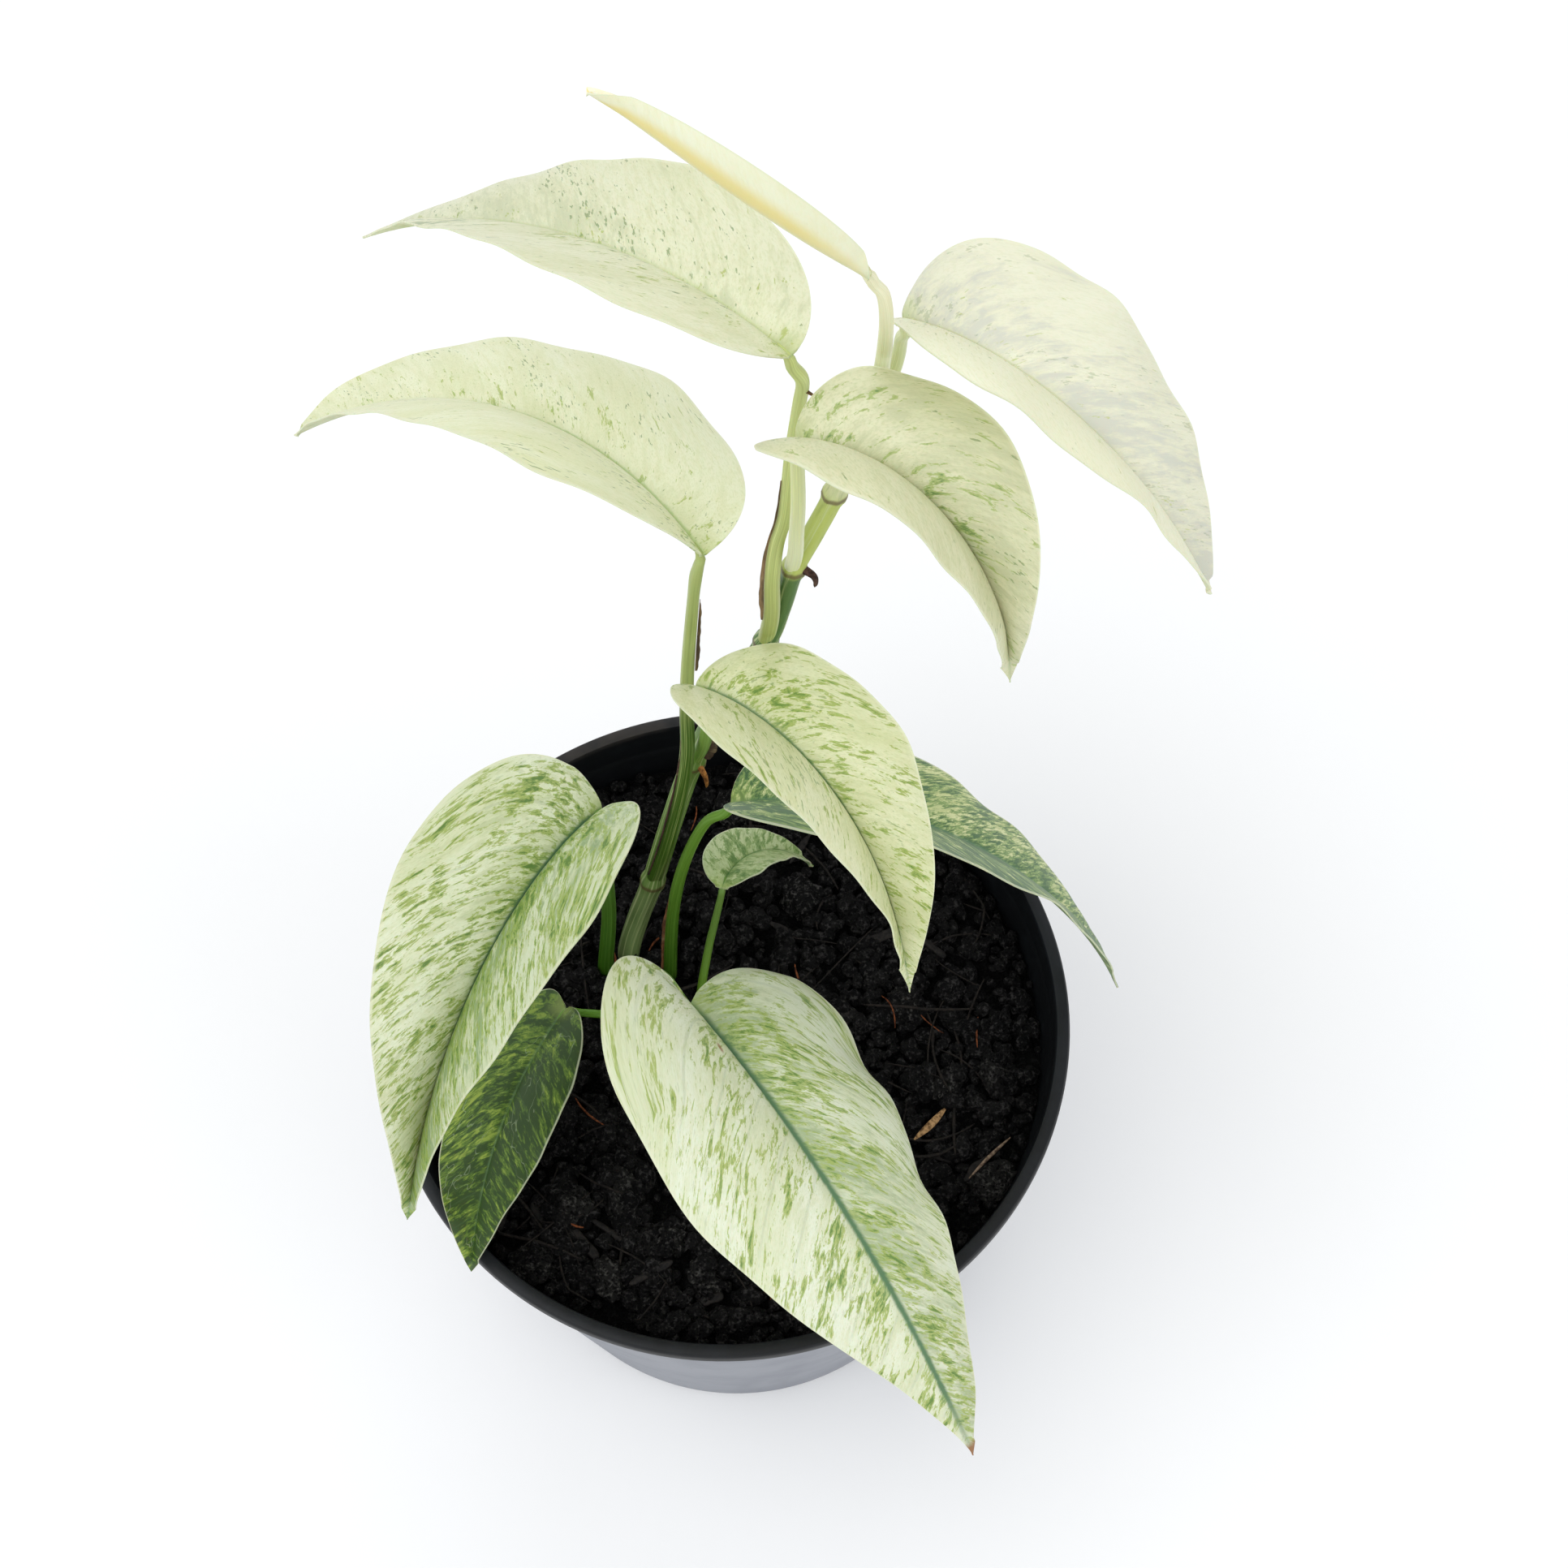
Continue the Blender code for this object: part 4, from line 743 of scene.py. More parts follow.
sheathShapes = {
    "sheath_middle_left": dict(line="middle_left", span=(211, 241), side=(1.0, 0.0), width=0.9,
                               away=0.1, colour=tint(112, 88, 62), node="sheath_middle_left"),
    "sheath_upper_left": dict(line="upper_left", span=(236, 284), side=(-1.0, -0.3), width=0.9,
                              away=0.1, colour=tint(116, 92, 64), node="sheath_upper_left"),
    "sheath_centre": dict(line="centre", span=(171, 190), side=(1.0, -0.4), width=1.7,
                          away=0.15, colour=tint(70, 48, 36), node="sheath_centre"),
    "sheath_low": dict(line="middle_left", span=(130, 186), side=(-1.0, -0.45), width=0.9,
                       away=-0.1, colour=tint(74, 48, 40), node=None),
    "sheath_front": dict(line="front", span=(104, 128), side=(-0.8, -0.6), width=0.8,
                         away=-0.1, colour=tint(110, 66, 40), node=None),
    "sheath_right": dict(line="right", span=(104, 128), side=(-1.0, -0.2), width=0.9,
                         away=-0.1, colour=tint(120, 74, 44), node=None),
}


def sheathMesh(name, sheath, seed):
    # a strip: along the stalk by height, outwards by width, with a torn outer edge
    path, radii = stalkLine(stalkShapes[sheath["line"]], leafShapes[sheath["line"]])
    rows, columns = 60, 7
    heights = np.linspace(*sheath["span"], rows)
    centre = np.stack([np.interp(heights, path[:, 2], path[:, k]) for k in range(3)], axis=1)
    radius = np.interp(heights, path[:, 2], radii)
    tangent = np.gradient(centre, axis=0)
    tangent /= np.linalg.norm(tangent, axis=1)[:, None]
    side = np.array([*sheath["side"], 0.0])
    outward = side - tangent * (tangent @ side)[:, None]
    outward /= np.linalg.norm(outward, axis=1)[:, None]
    beside = np.cross(tangent, outward)
    draw = np.random.default_rng(seed)
    share = np.linspace(0, 1, rows)
    torn = sum(a * np.sin(f * share + b) for a, f, b in
               zip((0.16, 0.10, 0.07), (9, 23, 51), draw.uniform(0, 6, 3)))
    width = sheath["width"] * (np.sin(math.pi * np.clip(share * 0.93 + 0.06, 0, 1)) ** 0.5
                               * (1 - 0.45 * share) + torn * 0.6)
    width = np.maximum(width, 0.12)
    t = np.linspace(0, 1, columns)
    turn = 0.9 * np.sin(5 * share + seed)[:, None] * t[None, :] ** 2 * 0.5
    out = radius[:, None] + sheath["away"] + width[:, None] * t[None, :]
    sheet = (centre[:, None] + outward[:, None] * out[..., None]
             + beside[:, None] * (turn * width[:, None])[..., None])
    thick = 0.07
    top = sheet + beside[:, None] * thick
    low = sheet - beside[:, None] * thick
    points = np.vstack([top.reshape(-1, 3), low.reshape(-1, 3)])
    quads = gridQuads(rows, columns)
    layer = rows * columns
    ring = np.concatenate([np.arange(columns), np.arange(1, rows) * columns + columns - 1,
                           (rows - 1) * columns + np.arange(columns - 2, -1, -1),
                           np.arange(rows - 2, 0, -1) * columns])
    wall = np.stack([ring, np.roll(ring, -1), np.roll(ring, -1) + layer, ring + layer], axis=1)
    place = np.stack([share[:, None] + 0 * t, t + 0 * share[:, None], 0 * t + 0 * share[:, None]],
                     axis=-1).reshape(-1, 3)
    mesh = fillMesh(name, points, np.vstack([quads, quads[:, ::-1] + layer, wall]), None,
                    {"place": np.vstack([place, place])}, sharp=50)
    faceOut(mesh)
    return mesh


def papery(name, colour):
    board = Board(name)
    place = board.objectPlace()
    fibre = board.noise(board.scaled(place, (900, 900, 60)), 1.0, 4.0, 0.65)
    cloud = board.noise(place, 260.0, 3.0)
    shade = board.mix(fibre.ramp(0.35, 0.65), tuple(0.5 * c for c in colour),
                      tuple(min(1, 1.5 * c) for c in colour))
    shade = board.mix(cloud.ramp(0.55, 0.75) * 0.5, shade, tint(172, 150, 112))
    return board.finish(Base_Color=shade, Roughness=0.75 + fibre * 0.15,
                        Normal=board.bump(fibre, 0.5, 0.2))


for number, (name, sheath) in enumerate(sheathShapes.items()):
    nodes = [sheath["node"]] if sheath["node"] else []
    placePiece(name + "_paper", sheathMesh(name + "_paper", sheath, number + 3),
               papery(name + "Skin", sheath["colour"]), "dry_sheath", *nodes)
print("sheath edges made")


# Aerial roots and the small dry nub on the upper left stalk

rootShapes = {
    "root_upper": dict(height=254.0, away=(0.8, -0.6), length=4.4, radii=(0.9, 0.38)),
    "root_lower": dict(height=167.0, away=(0.45, -0.9), length=6.0, radii=(0.75, 0.3)),
}


def rootMesh(name, root):
    # out of the stem, then down in a hook
    line = smoothPath(stem["path"], 400)
    axis = np.array([np.interp(root["height"], line[:, 2], line[:, k]) for k in range(3)])
    away = np.array([*root["away"], 0.0]) / math.hypot(*root["away"])
    start = axis + away * 1.6
    down = np.array([0.0, 0.0, -1.0])
    length = root["length"]
    knots = [start, start + away * (1.6 + 0.15 * length) + down * 0.1 * length,
             start + away * (1.6 + 0.28 * length) + down * 0.5 * length,
             start + away * (1.6 + 0.22 * length) + down * length]
    path = smoothPath(knots, 26)
    share = np.linspace(0, 1, len(path))
    radii = np.interp(share, [0, 0.85, 1], [root["radii"][0], root["radii"][1], 0.12])
    return tubeMesh(name, path, radii, 14)


def barkySkin(name, dark, light):
    board = Board(name)
    place = board.objectPlace()
    grain = board.noise(board.scaled(place, (900, 900, 500)), 1.2, 4.0, 0.65)
    colour = board.mix(grain.ramp(0.35, 0.65), dark, light)
    return board.finish(Base_Color=colour, Roughness=0.6 + grain * 0.2,
                        Normal=board.bump(grain, 0.5, 0.3), Specular_IOR_Level=0.2)


placePiece("root_upper_hook", rootMesh("root_upper_hook", rootShapes["root_upper"]),
           barkySkin("rootDark", tint(44, 28, 24), tint(92, 66, 56)), "aerial_root", "root_upper")
placePiece("root_lower_hook", rootMesh("root_lower_hook", rootShapes["root_lower"]),
           barkySkin("rootRusty", tint(96, 56, 24), tint(176, 118, 58)), "aerial_root",
           "root_lower")
nubPath = smoothPath([(19.2, 35.2, 318), (20.6, 33.9, 317.8), (21.7, 33.4, 317.2)], 10)
placePiece("nub", tubeMesh("nub", nubPath, np.linspace(0.5, 0.22, 10), 10),
           barkySkin("nubSkin", tint(60, 44, 30), tint(120, 92, 62)), "aerial_root")
print("roots made")


# Pot: black inside and on the rim, light grey outside

pot = dict(height=120.0, rim=150.0, base=110.0, wall=1.6, lip=4.0, overhang=1.6, band=10.0,
           bandStep=0.7, segments=192, holes=6, holeSize=9.0, holeCircle=80.0)


def innerRadius(height):
    top = pot["rim"] / 2 - pot["overhang"] - pot["bandStep"]
    share = height / (pot["height"] - pot["band"])
    return pot["base"] / 2 + (top - pot["base"] / 2) * share - pot["wall"]


def potMesh(name):
    # a closed line of (radius, height, outside) points turned about Z, ends filled
    rim, base, high = pot["rim"] / 2, pot["base"] / 2, pot["height"]
    band = rim - pot["overhang"]
    lipLow, bandLow = high - pot["lip"], high - pot["band"]
    inner = innerRadius(bandLow)
    line = [(0.01, 0, 1), (base - 3, 0, 1), (base - 1.0, 0, 1), (base - 0.3, 0.3, 1), (base, 1.0, 1)]
    for share in np.linspace(0.05, 0.97, 18):
        line.append((base + (band - pot["bandStep"] - base) * share, 1 + (bandLow - 1) * share, 1))
    line += [(band - pot["bandStep"], bandLow - 0.2, 1), (band - 0.25, bandLow + 0.15, 1),
             (band, bandLow + 0.6, 1), (band, lipLow - 0.7, 1), (band + 0.15, lipLow - 0.15, 0),
             (band + 0.5, lipLow, 0), (rim - 0.6, lipLow, 0), (rim - 0.15, lipLow + 0.2, 0),
             (rim, lipLow + 0.8, 0), (rim, high - 1.1, 0), (rim - 0.12, high - 0.55, 0),
             (rim - 0.42, high - 0.15, 0), (rim - 0.9, high, 0), (inner + 1.7, high, 0),
             (inner + 1.1, high - 0.2, 0), (inner + 0.8, high - 0.8, 0),
             (inner + 0.8, bandLow + 1.0, 0), (inner + 0.4, bandLow + 0.2, 0),
             (inner, bandLow - 0.8, 0)]
    for height in np.linspace(bandLow - 6, 4, 8):
        line.append((innerRadius(height), height, 0))
    line += [(innerRadius(2.2), 2.1, 0), (innerRadius(1.6) - 0.6, 1.6, 0), (0.01, 1.6, 0)]
    line = np.array(line)
    angle = np.arange(pot["segments"]) * 2 * math.pi / pot["segments"]
    wobble = 1 + 0.0010 * np.sin(2 * angle + 0.7)
    radius = line[:, :1] * wobble[None, :]
    points = np.stack([radius * np.cos(angle), radius * np.sin(angle),
                       line[:, 1:2] + 0 * angle], axis=-1).reshape(-1, 3)
    outside = np.repeat(line[:, 2], pot["segments"])
    quads = gridQuads(len(line), pot["segments"], wrap=True)
    place = np.stack([outside, 0 * outside, 0 * outside], axis=1)
    ring = np.arange(pot["segments"])
    mesh = fillMesh(name, points, quads, None, {"place": place}, sharp=35)
    shell = bmesh.new()
    shell.from_mesh(mesh)
    bmesh.ops.remove_doubles(shell, verts=shell.verts, dist=0.00003)
    bmesh.ops.recalc_face_normals(shell, faces=shell.faces)
    shell.to_mesh(mesh)
    shell.free()
    return mesh


def potSkin():
    board = Board("potSkin")
    outside = board.split(board.attribute("place"))[0]
    place = board.objectPlace()
    x, y, z = board.split(place)
    high = z * 1000
    scuff = board.noise(place, 34.0, 5.0, 0.65)
    grain = board.noise(place, 900.0, 3.0, 0.6)
    dust = board.noise(place, 120.0, 4.0, 0.7)
    black = board.mix(dust.ramp(0.45, 0.75), tint(9, 11, 14), tint(19, 22, 26))
    worn = board.noise(place, 22.0, 5.0, 0.7)
    back = (y * 1000).ramp(20, 70)
    top = high.ramp(118.0, 119.8)
    black = board.mix(top * worn.ramp(0.40, 0.66) * 0.5, black, tint(34, 38, 44))
    black = board.mix(top * back * worn.ramp(0.45, 0.62) * 0.5, black, tint(62, 54, 47))
    grey = board.mix(scuff.ramp(0.35, 0.7), tint(148, 151, 159), tint(138, 141, 150))
    streaks = board.noise(board.scaled(place, (60, 60, 9)), 1.0, 4.0, 0.6)
    grey = board.mix(streaks.ramp(0.5, 0.75) * 0.35, grey, tint(122, 125, 135))
    # painted shadow: the outside wall is darker just under the lip, where the rim's overhang shades it
    grey = board.mix(high.ramp(112.0, 116.0) * 0.35, grey, tint(98, 101, 110))
    marks = board.noise(place, 240.0, 3.0, 0.6)
    grey = board.mix(marks.ramp(0.68, 0.73) * 0.4, grey, tint(96, 96, 100))
    colour = board.mix(outside, black, grey)
    normal = board.bump(grain * 0.5 + scuff * 0.5, 0.25, 0.15)
    rough = 0.42 + scuff * 0.16 + outside * 0.06
    return board.finish(Base_Color=colour, Roughness=rough, Normal=normal,
                        Specular_IOR_Level=0.3)


def drillHoles(piece):
    # drain holes through the floor, on a circle, cut once and applied
    angle = (np.arange(pot["holes"]) + 0.4) * 2 * math.pi / pot["holes"]
    cutters = []
    for turn in angle:
        bpy.ops.mesh.primitive_cylinder_add(
            vertices=40, radius=pot["holeSize"] / 2 * mm, depth=8 * mm,
            location=(pot["holeCircle"] / 2 * math.cos(turn) * mm,
                      pot["holeCircle"] / 2 * math.sin(turn) * mm, 1 * mm))
        cutters.append(bpy.context.object)
    for cutter in cutters:
        cut = piece.modifiers.new("drain", "BOOLEAN")
        cut.operation = "DIFFERENCE"
        cut.solver = "EXACT"
        cut.object = cutter
    shown = piece.evaluated_get(bpy.context.evaluated_depsgraph_get())
    done = bpy.data.meshes.new_from_object(shown)
    piece.modifiers.clear()
    piece.data = done
    for cutter in cutters:
        bpy.data.objects.remove(cutter, do_unlink=True)


potPiece = placePiece("nursery_pot", potMesh("nursery_pot"), potSkin(), "pot_plastic", "pot")
drillHoles(potPiece)
print("pot made")


# Potting mix: the solid's relief, with loose porous granules over it

soil = dict(belowRim=15.5, granules=320, radius=(1.8, 3.6), seed=7,
            fineCount=2200, fineRadius=(0.7, 1.6), crumbCount=560, crumbRadius=(1.4, 2.5),
            relief=7, reliefHeight=0.7,
            lumps=[(-25, -31, 6.2), (-37, -35, 5.0), (-46, -47, 5.2), (-15, -44, 4.6),
                   (-9, -53, 4.4), (55, -37, 4.6), (39, 5, 4.2), (-30, -52, 4.0),
                   (47, -14, 3.8), (-52, -22, 4.2), (-3, -36, 4.0), (28, -24, 3.6),
                   (58, -12, 3.8), (20, 34, 4.4), (-40, 30, 4.6), (5, 56, 4.8)])


def granuleRows():
    # the same seeded draw as in the solid: x, y, radius, height of each cap
    draw = random.Random(soil["seed"])
    limit = innerRadius(pot["height"] - soil["belowRim"])
    rows = []
    for _ in range(soil["granules"]):
        distance = limit * math.sqrt(draw.random())
        angle = draw.uniform(0, 2 * math.pi)
        x, y = distance * math.cos(angle), distance * math.sin(angle)
        coarse = 1.35 if x < 5 and y < -15 else 1.0
        radius = draw.uniform(*soil["radius"]) * coarse
        rows.append((x, y, radius, draw.uniform(0.4, 0.8) * radius))
    rows += [(x, y, radius, soil["reliefHeight"] * radius)
             for x, y, radius in soil["lumps"][:soil["relief"]]]
    return np.array(rows)


def soilLevel(x, y):
    return pot["height"] - soil["belowRim"] - 1.0 + 0.8 * np.sin(x / 21 + 0.6) * np.cos(y / 17)


def soilHeight(x, y, lumps):
    # gentle level plus the highest rounded cap over each point
    near = np.hypot(x[:, None] - lumps[:, 0], y[:, None] - lumps[:, 1]) / lumps[:, 2]
    caps = lumps[:, 3] * np.sqrt(np.clip(1 - near**2, 0, None))
    return soilLevel(x, y) + caps.max(axis=1)


def soilBedMesh(name, lumps):
    # polar grid: radius grows evenly, height is the relief; a skirt closes it to the floor
    rings, spokes = 90, 220
    limit = innerRadius(pot["height"] - soil["belowRim"]) - 0.3
    radius = np.linspace(0.02, limit, rings)
    angle = np.arange(spokes) * 2 * math.pi / spokes
    x = (radius[:, None] * np.cos(angle)).ravel()
    y = (radius[:, None] * np.sin(angle)).ravel()
    z = soilHeight(x, y, lumps) - 1.6
    z += 0.25 * np.sin(x * 2.1) * np.sin(y * 2.3) + 0.2 * np.sin(x * 4.7 + 1) * np.sin(y * 4.1)
    low = pot["wall"] + 0.3
    foot = innerRadius(low) - 0.3
    skirt = np.stack([foot * np.cos(angle), foot * np.sin(angle), 0 * angle + low], axis=1)
    points = np.vstack([np.stack([x, y, z], axis=1), skirt, [[0, 0, low]]])
    quads = gridQuads(rings + 1, spokes, wrap=True)
    side = np.arange(spokes)
    start = rings * spokes
    fan = np.stack([start + side, start + (side + 1) % spokes, side * 0 + start + spokes], axis=1)
    cap = np.stack([(side + 1) % spokes, side, side * 0 + len(points)], axis=1)
    points = np.vstack([points, [[0, 0, float(z[:spokes].mean())]]])
    mesh = fillMesh(name, points, quads, np.vstack([fan[:, ::-1], cap]), None, sharp=0)
    faceOut(mesh)
    return mesh


def ballTemplate(level):
    ball = bmesh.new()
    bmesh.ops.create_icosphere(ball, subdivisions=level, radius=1.0)
    points = np.array([v.co[:] for v in ball.verts])
    faces = np.array([[v.index for v in f.verts] for f in ball.faces])
    ball.free()
    return points, faces


def granuleMesh(name, centres, sizes, level, roughness, seed):
    # every granule is the ball with its radius changed by waves of random direction, and what
    # would pass the inside of the pot's wall is drawn in to it
    ball, faces = ballTemplate(level)
    draw = np.random.default_rng(seed)
    count = len(centres)
    shape = np.ones((count, len(ball)))
    for strength, pitch in ((0.5, 2.3), (0.36, 4.8), (0.32, 9.0), (0.26, 16))[:level + 1]:
        for _ in range(3):
            direction = draw.normal(size=(count, 3))
            direction /= np.linalg.norm(direction, axis=1)[:, None]
            phase = draw.uniform(0, 2 * math.pi, (count, 1))
            shape += roughness * strength / 3 * np.sin(pitch * (direction @ ball.T) + phase)
    stretch = draw.uniform(0.78, 1.2, (count, 1, 3))
    points = ball[None] * shape[..., None] * sizes[:, None, :] * stretch + centres[:, None]
    reach = np.maximum(np.hypot(points[..., 0], points[..., 1]), 1e-6)
    points[..., :2] *= np.minimum(1, (innerRadius(points[..., 2]) - 0.15) / reach)[..., None]
    step = np.arange(count)[:, None, None] * len(ball)
    tone = np.repeat(draw.uniform(0, 1, (count, 1)), len(ball), axis=0)
    attributes = {"place": np.hstack([tone, 0 * tone, 0 * tone])}
    return fillMesh(name, points.reshape(-1, 3), np.zeros((0, 4), int),
                    (faces[None] + step).reshape(-1, 3), attributes, sharp=0)


def clearOfStalks(x, y, radius):
    # true where a granule leaves the feet of the stem and the stalks free
    feet = [(-21, 24, 2.6), (-26.5, 20, 2.0), (-17, 9, 1.3), (-19, 16, 2.0), (-12, 18.5, 1.8),
            (-5.5, 12, 1.2)]
    far = [np.hypot(x - fx, y - fy) > fr + 0.75 * radius for fx, fy, fr in feet]
    return np.all(far, axis=0)


def scatter(count, radii, seed, limit):
    draw = np.random.default_rng(seed)
    distance = limit * np.sqrt(draw.random(count))
    angle = draw.uniform(0, 2 * math.pi, count)
    x, y = distance * np.cos(angle), distance * np.sin(angle)
    radius = draw.uniform(*radii, count)
    keep = clearOfStalks(x, y, radius) & (distance + radius < limit)
    return x[keep], y[keep], radius[keep]


def mixSkin(name, dark, light):
    board = Board(name)
    place = board.objectPlace()
    tone = board.split(board.attribute("place"))[0]
    cloud = board.noise(place, 300.0, 3.0, 0.6)
    crustAndGlint = board.noise(place, 850.0, 5.0, 0.72)
    pores = board.cells(place, 1100.0)
    wide = board.cells(place, 460.0)
    colour = board.mix((tone * 0.5 + cloud * 0.6).ramp(0.3, 0.8), dark, light)
    # painted highlight: the brightest crust flecks, far lighter than the light tone, stand in for
    # glints on the grains; the same noise also gives the crust its bump
    colour = board.mix(crustAndGlint.ramp(0.51, 0.61), colour, tuple(5.2 * c for c in light))
    # painted shade: the pits, which the bump sinks, are painted near-black
    colour = board.mix(pores.ramp(0.12, 0.45, 0.95, 0.0), colour, tint(2, 2, 2))
    colour = board.mix(wide.ramp(0.06, 0.26, 0.9, 0.0), colour, tint(2, 2, 2))
    height = crustAndGlint * 1.6 + pores.ramp(0.0, 0.6) * 0.8 + wide.ramp(0.0, 0.4) * 0.8
    return board.finish(Base_Color=colour, Roughness=0.62 + cloud * 0.2,
                        Normal=board.bump(height, 1.0, 1.0), Specular_IOR_Level=0.14)


def placeMix(name, x, y, z, radius, squash, level, roughness, seed, skin):
    sizes = radius[:, None] * np.array([[1.0, 1.0, squash]])
    mesh = granuleMesh(name, np.stack([x, y, z], axis=1), sizes, level, roughness, seed)
    placePiece(name, mesh, skin, "potting_mix")


def soilPieces():
    lumps = granuleRows()
    limit = innerRadius(pot["height"] - soil["belowRim"])
    # the bed under the granules is near-black, darker than they are: painted shade in the gaps between
    # them
    placePiece("mix_bed", soilBedMesh("mix_bed", lumps),
               mixSkin("mixBedShade", tint(3, 3, 3), tint(7, 7, 7)), "potting_mix", "soil")
    mid = lumps[:soil["granules"]]
    keep = clearOfStalks(mid[:, 0], mid[:, 1], mid[:, 2])
    keep &= np.hypot(mid[:, 0], mid[:, 1]) + 0.9 * mid[:, 2] < limit
    mid = mid[keep]
    rest = soilLevel(mid[:, 0], mid[:, 1]) + mid[:, 3] - 0.62 * mid[:, 2]
    bulky = mid[:, 2] > 3.35
    skin = mixSkin("mixGranules", tint(9, 9, 10), tint(27, 26, 26))
    for name, pick, level in (("mix_pebbles", bulky, 3), ("mix_granules", ~bulky, 2)):
        placeMix(name, mid[pick, 0], mid[pick, 1], rest[pick], 0.95 * mid[pick, 2], 0.85,
                 level, 0.5, 11 + level, skin)
    x, y, radius = np.array(soil["lumps"]).T
    placeMix("mix_lumps", x, y, soilLevel(x, y) + 0.15 * radius, 0.95 * radius, 0.72, 4, 0.55,
             12, mixSkin("mixLumps", tint(14, 14, 14), tint(36, 35, 34)))
    x, y, radius = scatter(soil["crumbCount"], soil["crumbRadius"], 21, limit)
    placeMix("mix_crumbs", x, y, soilHeight(x, y, lumps) + radius * 0.1, radius, 0.95, 2, 0.55,
             15, mixSkin("mixCrumbs", tint(8, 8, 9), tint(26, 25, 25)))
    x, y, radius = scatter(soil["fineCount"], soil["fineRadius"], 22, limit)
    placeMix("mix_fines", x, y, soilHeight(x, y, lumps) + radius * 0.1, radius, 0.95, 2, 0.5,
             16, mixSkin("mixFines", tint(7, 7, 8), tint(23, 22, 22)))
    return lumps


lumpRows = soilPieces()
print("potting mix made")


# Litter: fibres, bark slivers, a straw and a twig on top of the mix

fibreSets = {
    "fibres_dark": dict(count=90, length=(8, 30), radius=(0.16, 0.42), seed=31,
                        dark=tint(14, 12, 11), light=tint(40, 34, 30)),
    "fibres_rusty": dict(count=20, length=(4, 12), radius=(0.14, 0.3), seed=37,
                         dark=tint(70, 34, 18), light=tint(140, 80, 46)),
}


def fibreMesh(name, settings, lumps):
    # each fibre is a bent line on the mix: arc + wave, lifted to the relief under it
    draw = np.random.default_rng(settings["seed"])
    count, steps, sides = settings["count"], 18, 6
    limit = innerRadius(pot["height"] - soil["belowRim"]) - 4
    distance = limit * np.sqrt(draw.random(count))
    start = draw.uniform(0, 2 * math.pi, count)
    heading = draw.uniform(0, 2 * math.pi, count)
    length = draw.uniform(*settings["length"], count)
    radius = draw.uniform(*settings["radius"], count)
    bend = draw.uniform(-1.2, 1.2, count)
    t = np.linspace(-0.5, 0.5, steps)
    turn = heading[:, None] + bend[:, None] * t[None, :]
    dx = np.cumsum(np.cos(turn), axis=1) * (length / steps)[:, None]
    dy = np.cumsum(np.sin(turn), axis=1) * (length / steps)[:, None]
    x = (distance * np.cos(start))[:, None] + dx - dx.mean(axis=1, keepdims=True)
    y = (distance * np.sin(start))[:, None] + dy - dy.mean(axis=1, keepdims=True)
    far = np.hypot(x, y)
    pull = np.minimum(1, limit / np.maximum(far, 1e-6))
    x, y = x * pull, y * pull
    ground = soilHeight(x.ravel(), y.ravel(), lumps).reshape(x.shape)
    z = 0.35 * ground + 0.65 * ground.max(axis=1, keepdims=True) + radius[:, None] + 0.5
    z = z + draw.uniform(-0.4, 0.9, (count, 1)) * np.cos(math.pi * t)[None, :]
    path = np.stack([x, y, z], axis=-1)
    tangent = np.gradient(path, axis=1)
    tangent /= np.linalg.norm(tangent, axis=2, keepdims=True)
    first = np.cross(tangent, [0, 0, 1.0])
    first /= np.linalg.norm(first, axis=2, keepdims=True)
    second = np.cross(first, tangent)
    angle = np.arange(sides) * 2 * math.pi / sides
    taper = np.sin(np.linspace(0.25, math.pi - 0.25, steps)) ** 0.5
    size = radius[:, None, None] * taper[None, :, None]
    ring = (path[:, :, None] + first[:, :, None] * (np.cos(angle) * size)[..., None]
            + second[:, :, None] * (np.sin(angle) * size)[..., None])
    points = ring.reshape(-1, 3)
    block = gridQuads(steps, sides, wrap=True)
    step = np.arange(count)[:, None, None] * steps * sides
    quads = (block[None] + step).reshape(-1, 4)
    side = np.arange(1, sides - 1)
    foot = np.stack([0 * side, side + 1, side], axis=1)
    last = (steps - 1) * sides
    head = np.stack([0 * side + last, side + last, side + 1 + last], axis=1)
    caps = (np.vstack([foot, head])[None] + step).reshape(-1, 3)
    mesh = fillMesh(name, points, quads, caps, None, sharp=0)
    faceOut(mesh)
    return mesh


for name, settings in fibreSets.items():
    placePiece(name, fibreMesh(name, settings, lumpRows),
               barkySkin(name + "Skin", settings["dark"], settings["light"]), "dry_litter")


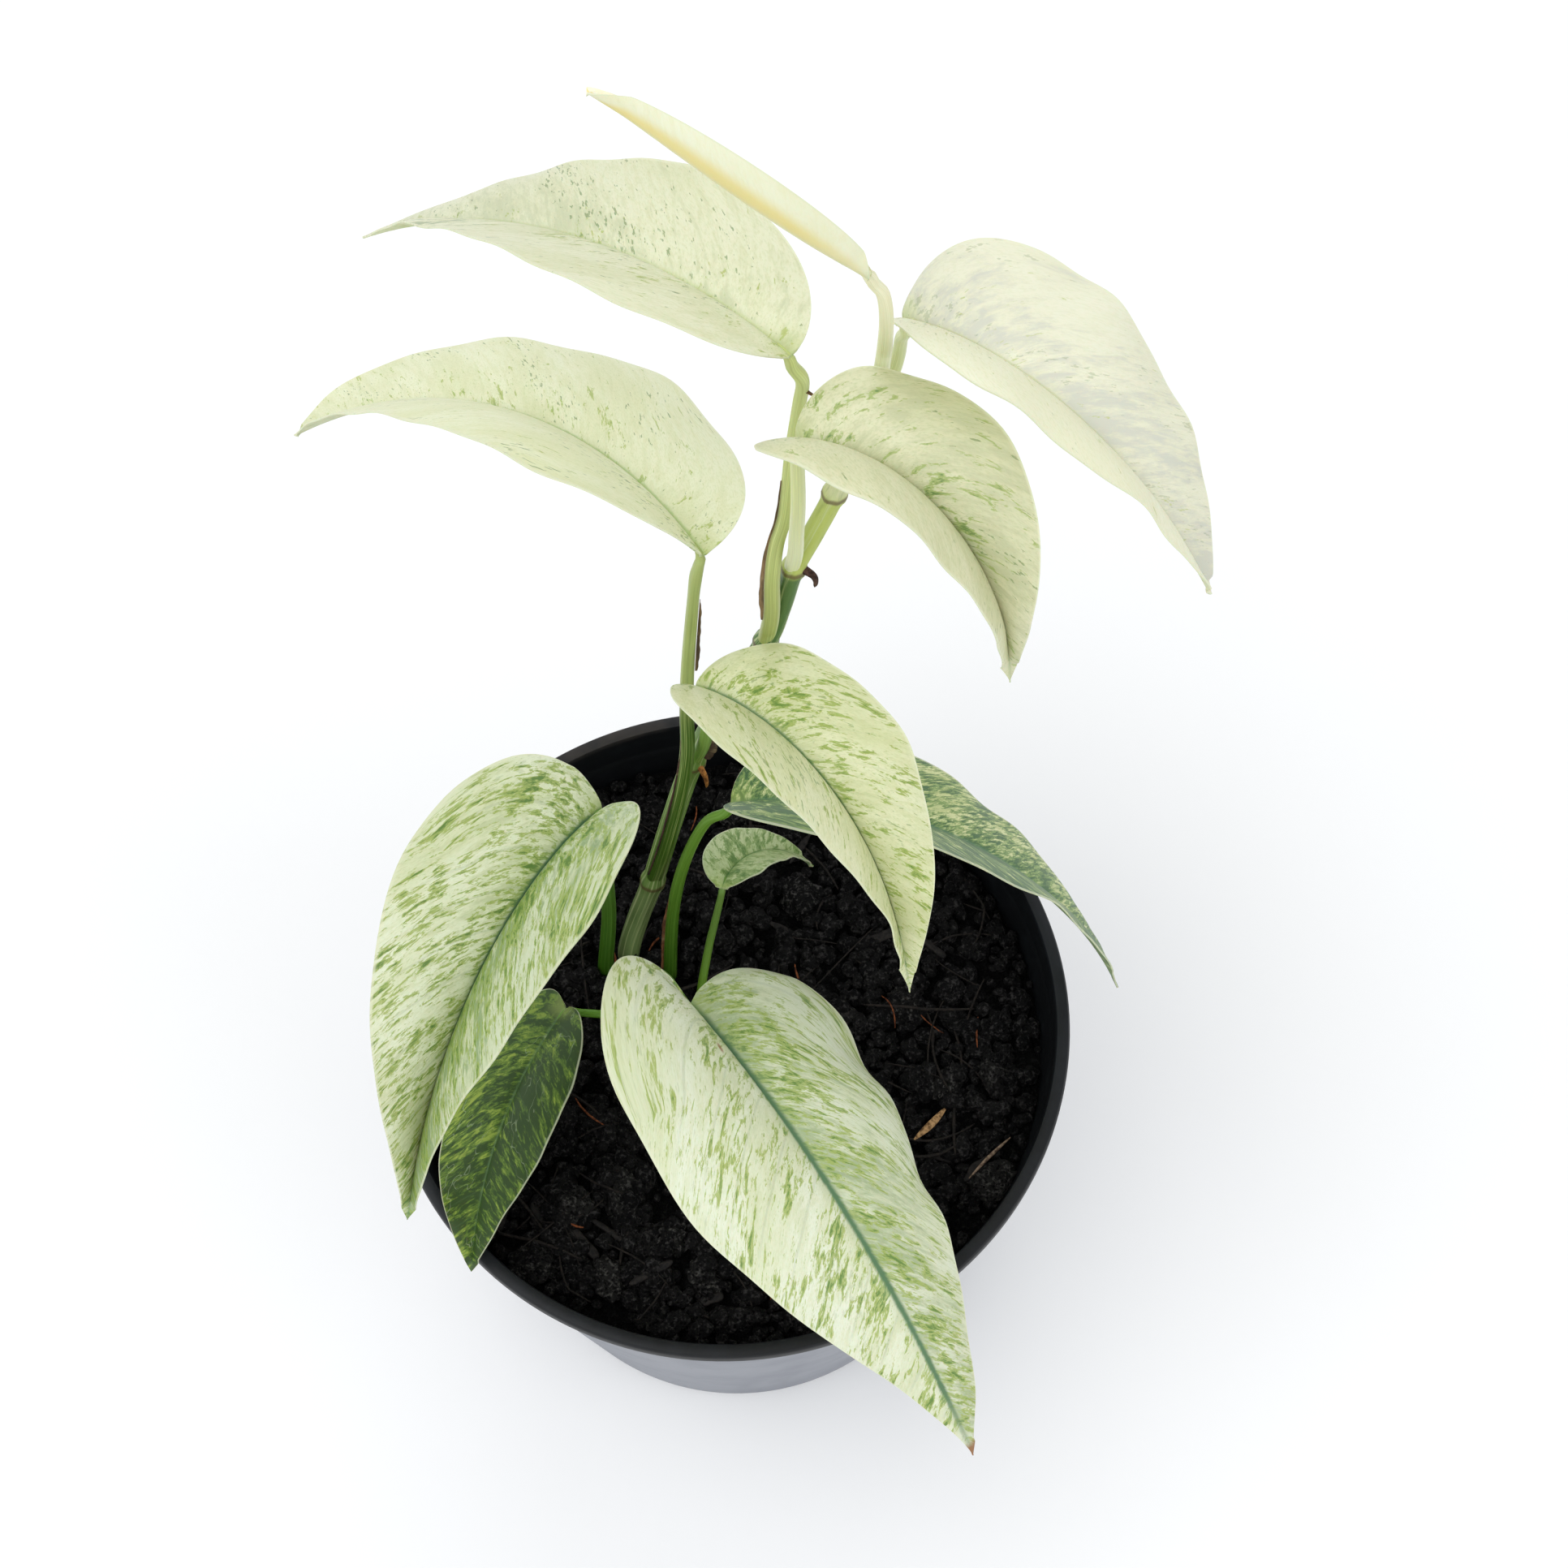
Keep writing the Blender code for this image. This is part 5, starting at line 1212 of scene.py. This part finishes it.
def sliverMesh(name, lumps):
    # bark slivers: the granule's rough ball stretched long and thin, then turned
    draw = np.random.default_rng(41)
    spots = np.array([(-20, -52, 0.4), (-34, -44, 2.2), (-8, -58, 0.2), (-28, -42, 2.5),
                      (-44, -38, 1.9), (10, -58, 2.9), (-52, -36, 1.2), (36, 22, 0.3),
                      (48, 18, 2.4), (20, 46, 0.9), (-44, 14, 2.0), (-50, 30, 0.5),
                      (30, -40, 1.1), (52, -34, 0.7), (14, 26, 2.6), (-2, 44, 0.1),
                      (-30, 46, 1.6), (44, -30, 2.7), (-62, -6, 1.4), (26, 4, 0.2)])
    ball, faces = ballTemplate(3)
    count = len(spots)
    length = draw.uniform(2.6, 5.6, (count, 1))
    wide = draw.uniform(0.7, 1.3, (count, 1))
    flat = draw.uniform(0.3, 0.55, (count, 1))
    body = ball[None] * np.stack([length, wide, flat], axis=-1)
    body = body * (1 + 0.16 * np.sin(5 * ball[:, 0] + spots[:, :1])[..., None])
    cos, sin = np.cos(spots[:, 2:3]), np.sin(spots[:, 2:3])
    x = body[..., 0] * cos - body[..., 1] * sin + spots[:, :1]
    y = body[..., 0] * sin + body[..., 1] * cos + spots[:, 1:2]
    ground = soilHeight(spots[:, 0], spots[:, 1], lumps)[:, None] + 1.1
    z = body[..., 2] + ground + 0.12 * body[..., 0]
    step = np.arange(count)[:, None, None] * len(ball)
    points = np.stack([x, y, z], axis=-1).reshape(-1, 3)
    return fillMesh(name, points, np.zeros((0, 4), int), (faces[None] + step).reshape(-1, 3),
                    None, sharp=0)


placePiece("bark_slivers", sliverMesh("bark_slivers", lumpRows),
           barkySkin("sliverSkin", tint(12, 11, 11), tint(38, 34, 32)), "dry_litter")


def stripMesh(name, line, halfWide, thick, height):
    # a flat bent strip or a thin twig: an elliptical tube that tapers at both ends
    path = smoothPath([(x, y, height) for x, y in line], 30)
    path[:, 2] += 0.6 * np.sin(np.linspace(0, math.pi, 30))
    ends = np.sin(np.linspace(0.12, math.pi - 0.2, 30)) ** 0.75
    angle = np.arange(12) * 2 * math.pi / 12
    flatness = np.sqrt(1 / (np.cos(angle) ** 2 + (np.sin(angle) * halfWide / thick) ** 2))
    return tubeMesh(name, path, halfWide * ends, 12, flatAxis=(-0.6, 0.8, 0.0),
                    shape=flatness[None, :] + 0 * path[:, :1])


litterShapes = {
    "straw": dict(line=[(39.0, -26.5), (43.0, -23.5), (46.5, -20.0)], wide=0.85, thick=0.3,
                  dark=tint(96, 68, 42), light=tint(190, 150, 104)),
    "twig": dict(line=[(50.0, -36.5), (54.5, -32.5), (60.0, -28.0)], wide=0.42, thick=0.38,
                 dark=tint(80, 62, 50), light=tint(150, 128, 108)),
}

for name, piece in litterShapes.items():
    low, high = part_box(name)
    placePiece(name + "_fine", stripMesh(name + "_fine", piece["line"], piece["wide"],
                                         piece["thick"], high[2] / mm + 0.8),
               barkySkin(name + "Skin", piece["dark"], piece["light"]), "dry_litter", name)
print("litter made")


# Camera, floor and light

view = dict(place=(0.0, -0.2219, 0.7227), turn=(24.734, 0.462, -4.486), lens=67.18, sensor=36.0)


def addCamera():
    data = bpy.data.cameras.new("camera")
    data.lens = view["lens"]
    data.sensor_width = view["sensor"]
    data.clip_start = 0.01
    camera = bpy.data.objects.new("camera", data)
    camera.location = view["place"]
    camera.rotation_euler = [math.radians(a) for a in view["turn"]]
    bpy.context.scene.collection.objects.link(camera)
    bpy.context.scene.camera = camera


def addFloor():
    floor = bpy.data.meshes.new("floor")
    floor.from_pydata([(-6, -6, 0), (6, -6, 0), (6, 6, 0), (-6, 6, 0)], [], [(0, 1, 2, 3)])
    board = Board("paleFloor")
    place = board.objectPlace()
    cloud = board.noise(place, 3.0, 2.0)
    floor.materials.append(board.finish(
        Base_Color=board.mix(cloud, tint(251, 251, 251), tint(253, 253, 253)), Roughness=0.9))
    piece = bpy.data.objects.new("floor", floor)
    bpy.context.scene.collection.objects.link(piece)


def addLight(name, place, aim, size, power, colour=(1, 1, 1)):
    data = bpy.data.lights.new(name, "AREA")
    data.shape = "DISK"
    data.size = size
    data.energy = power
    data.color = colour
    lamp = bpy.data.objects.new(name, data)
    lamp.location = place
    way = np.array(place) - np.array(aim)
    flat = math.hypot(way[0], way[1])
    lamp.rotation_euler = (math.atan2(flat, way[2]), 0, math.atan2(way[1], way[0]) + math.pi / 2)
    bpy.context.scene.collection.objects.link(lamp)


addCamera()
addFloor()
aim = (0, 0, 0.2)
addLight("keyLight", (-0.8, -0.4, 1.8), aim, 1.8, 15)
addLight("fillLight", (1.3, -0.9, 1.2), aim, 1.6, 6)
addLight("backLight", (0.2, 1.5, 1.3), aim, 1.4, 5)
world = bpy.data.worlds.new("softWorld")
world.use_nodes = True
world.node_tree.nodes["Background"].inputs["Color"].default_value = (0.96, 0.98, 1.0, 1)
world.node_tree.nodes["Background"].inputs["Strength"].default_value = 0.70
bpy.context.scene.world = world
bpy.context.scene.view_settings.view_transform = "Standard"
print("camera, floor and light set")
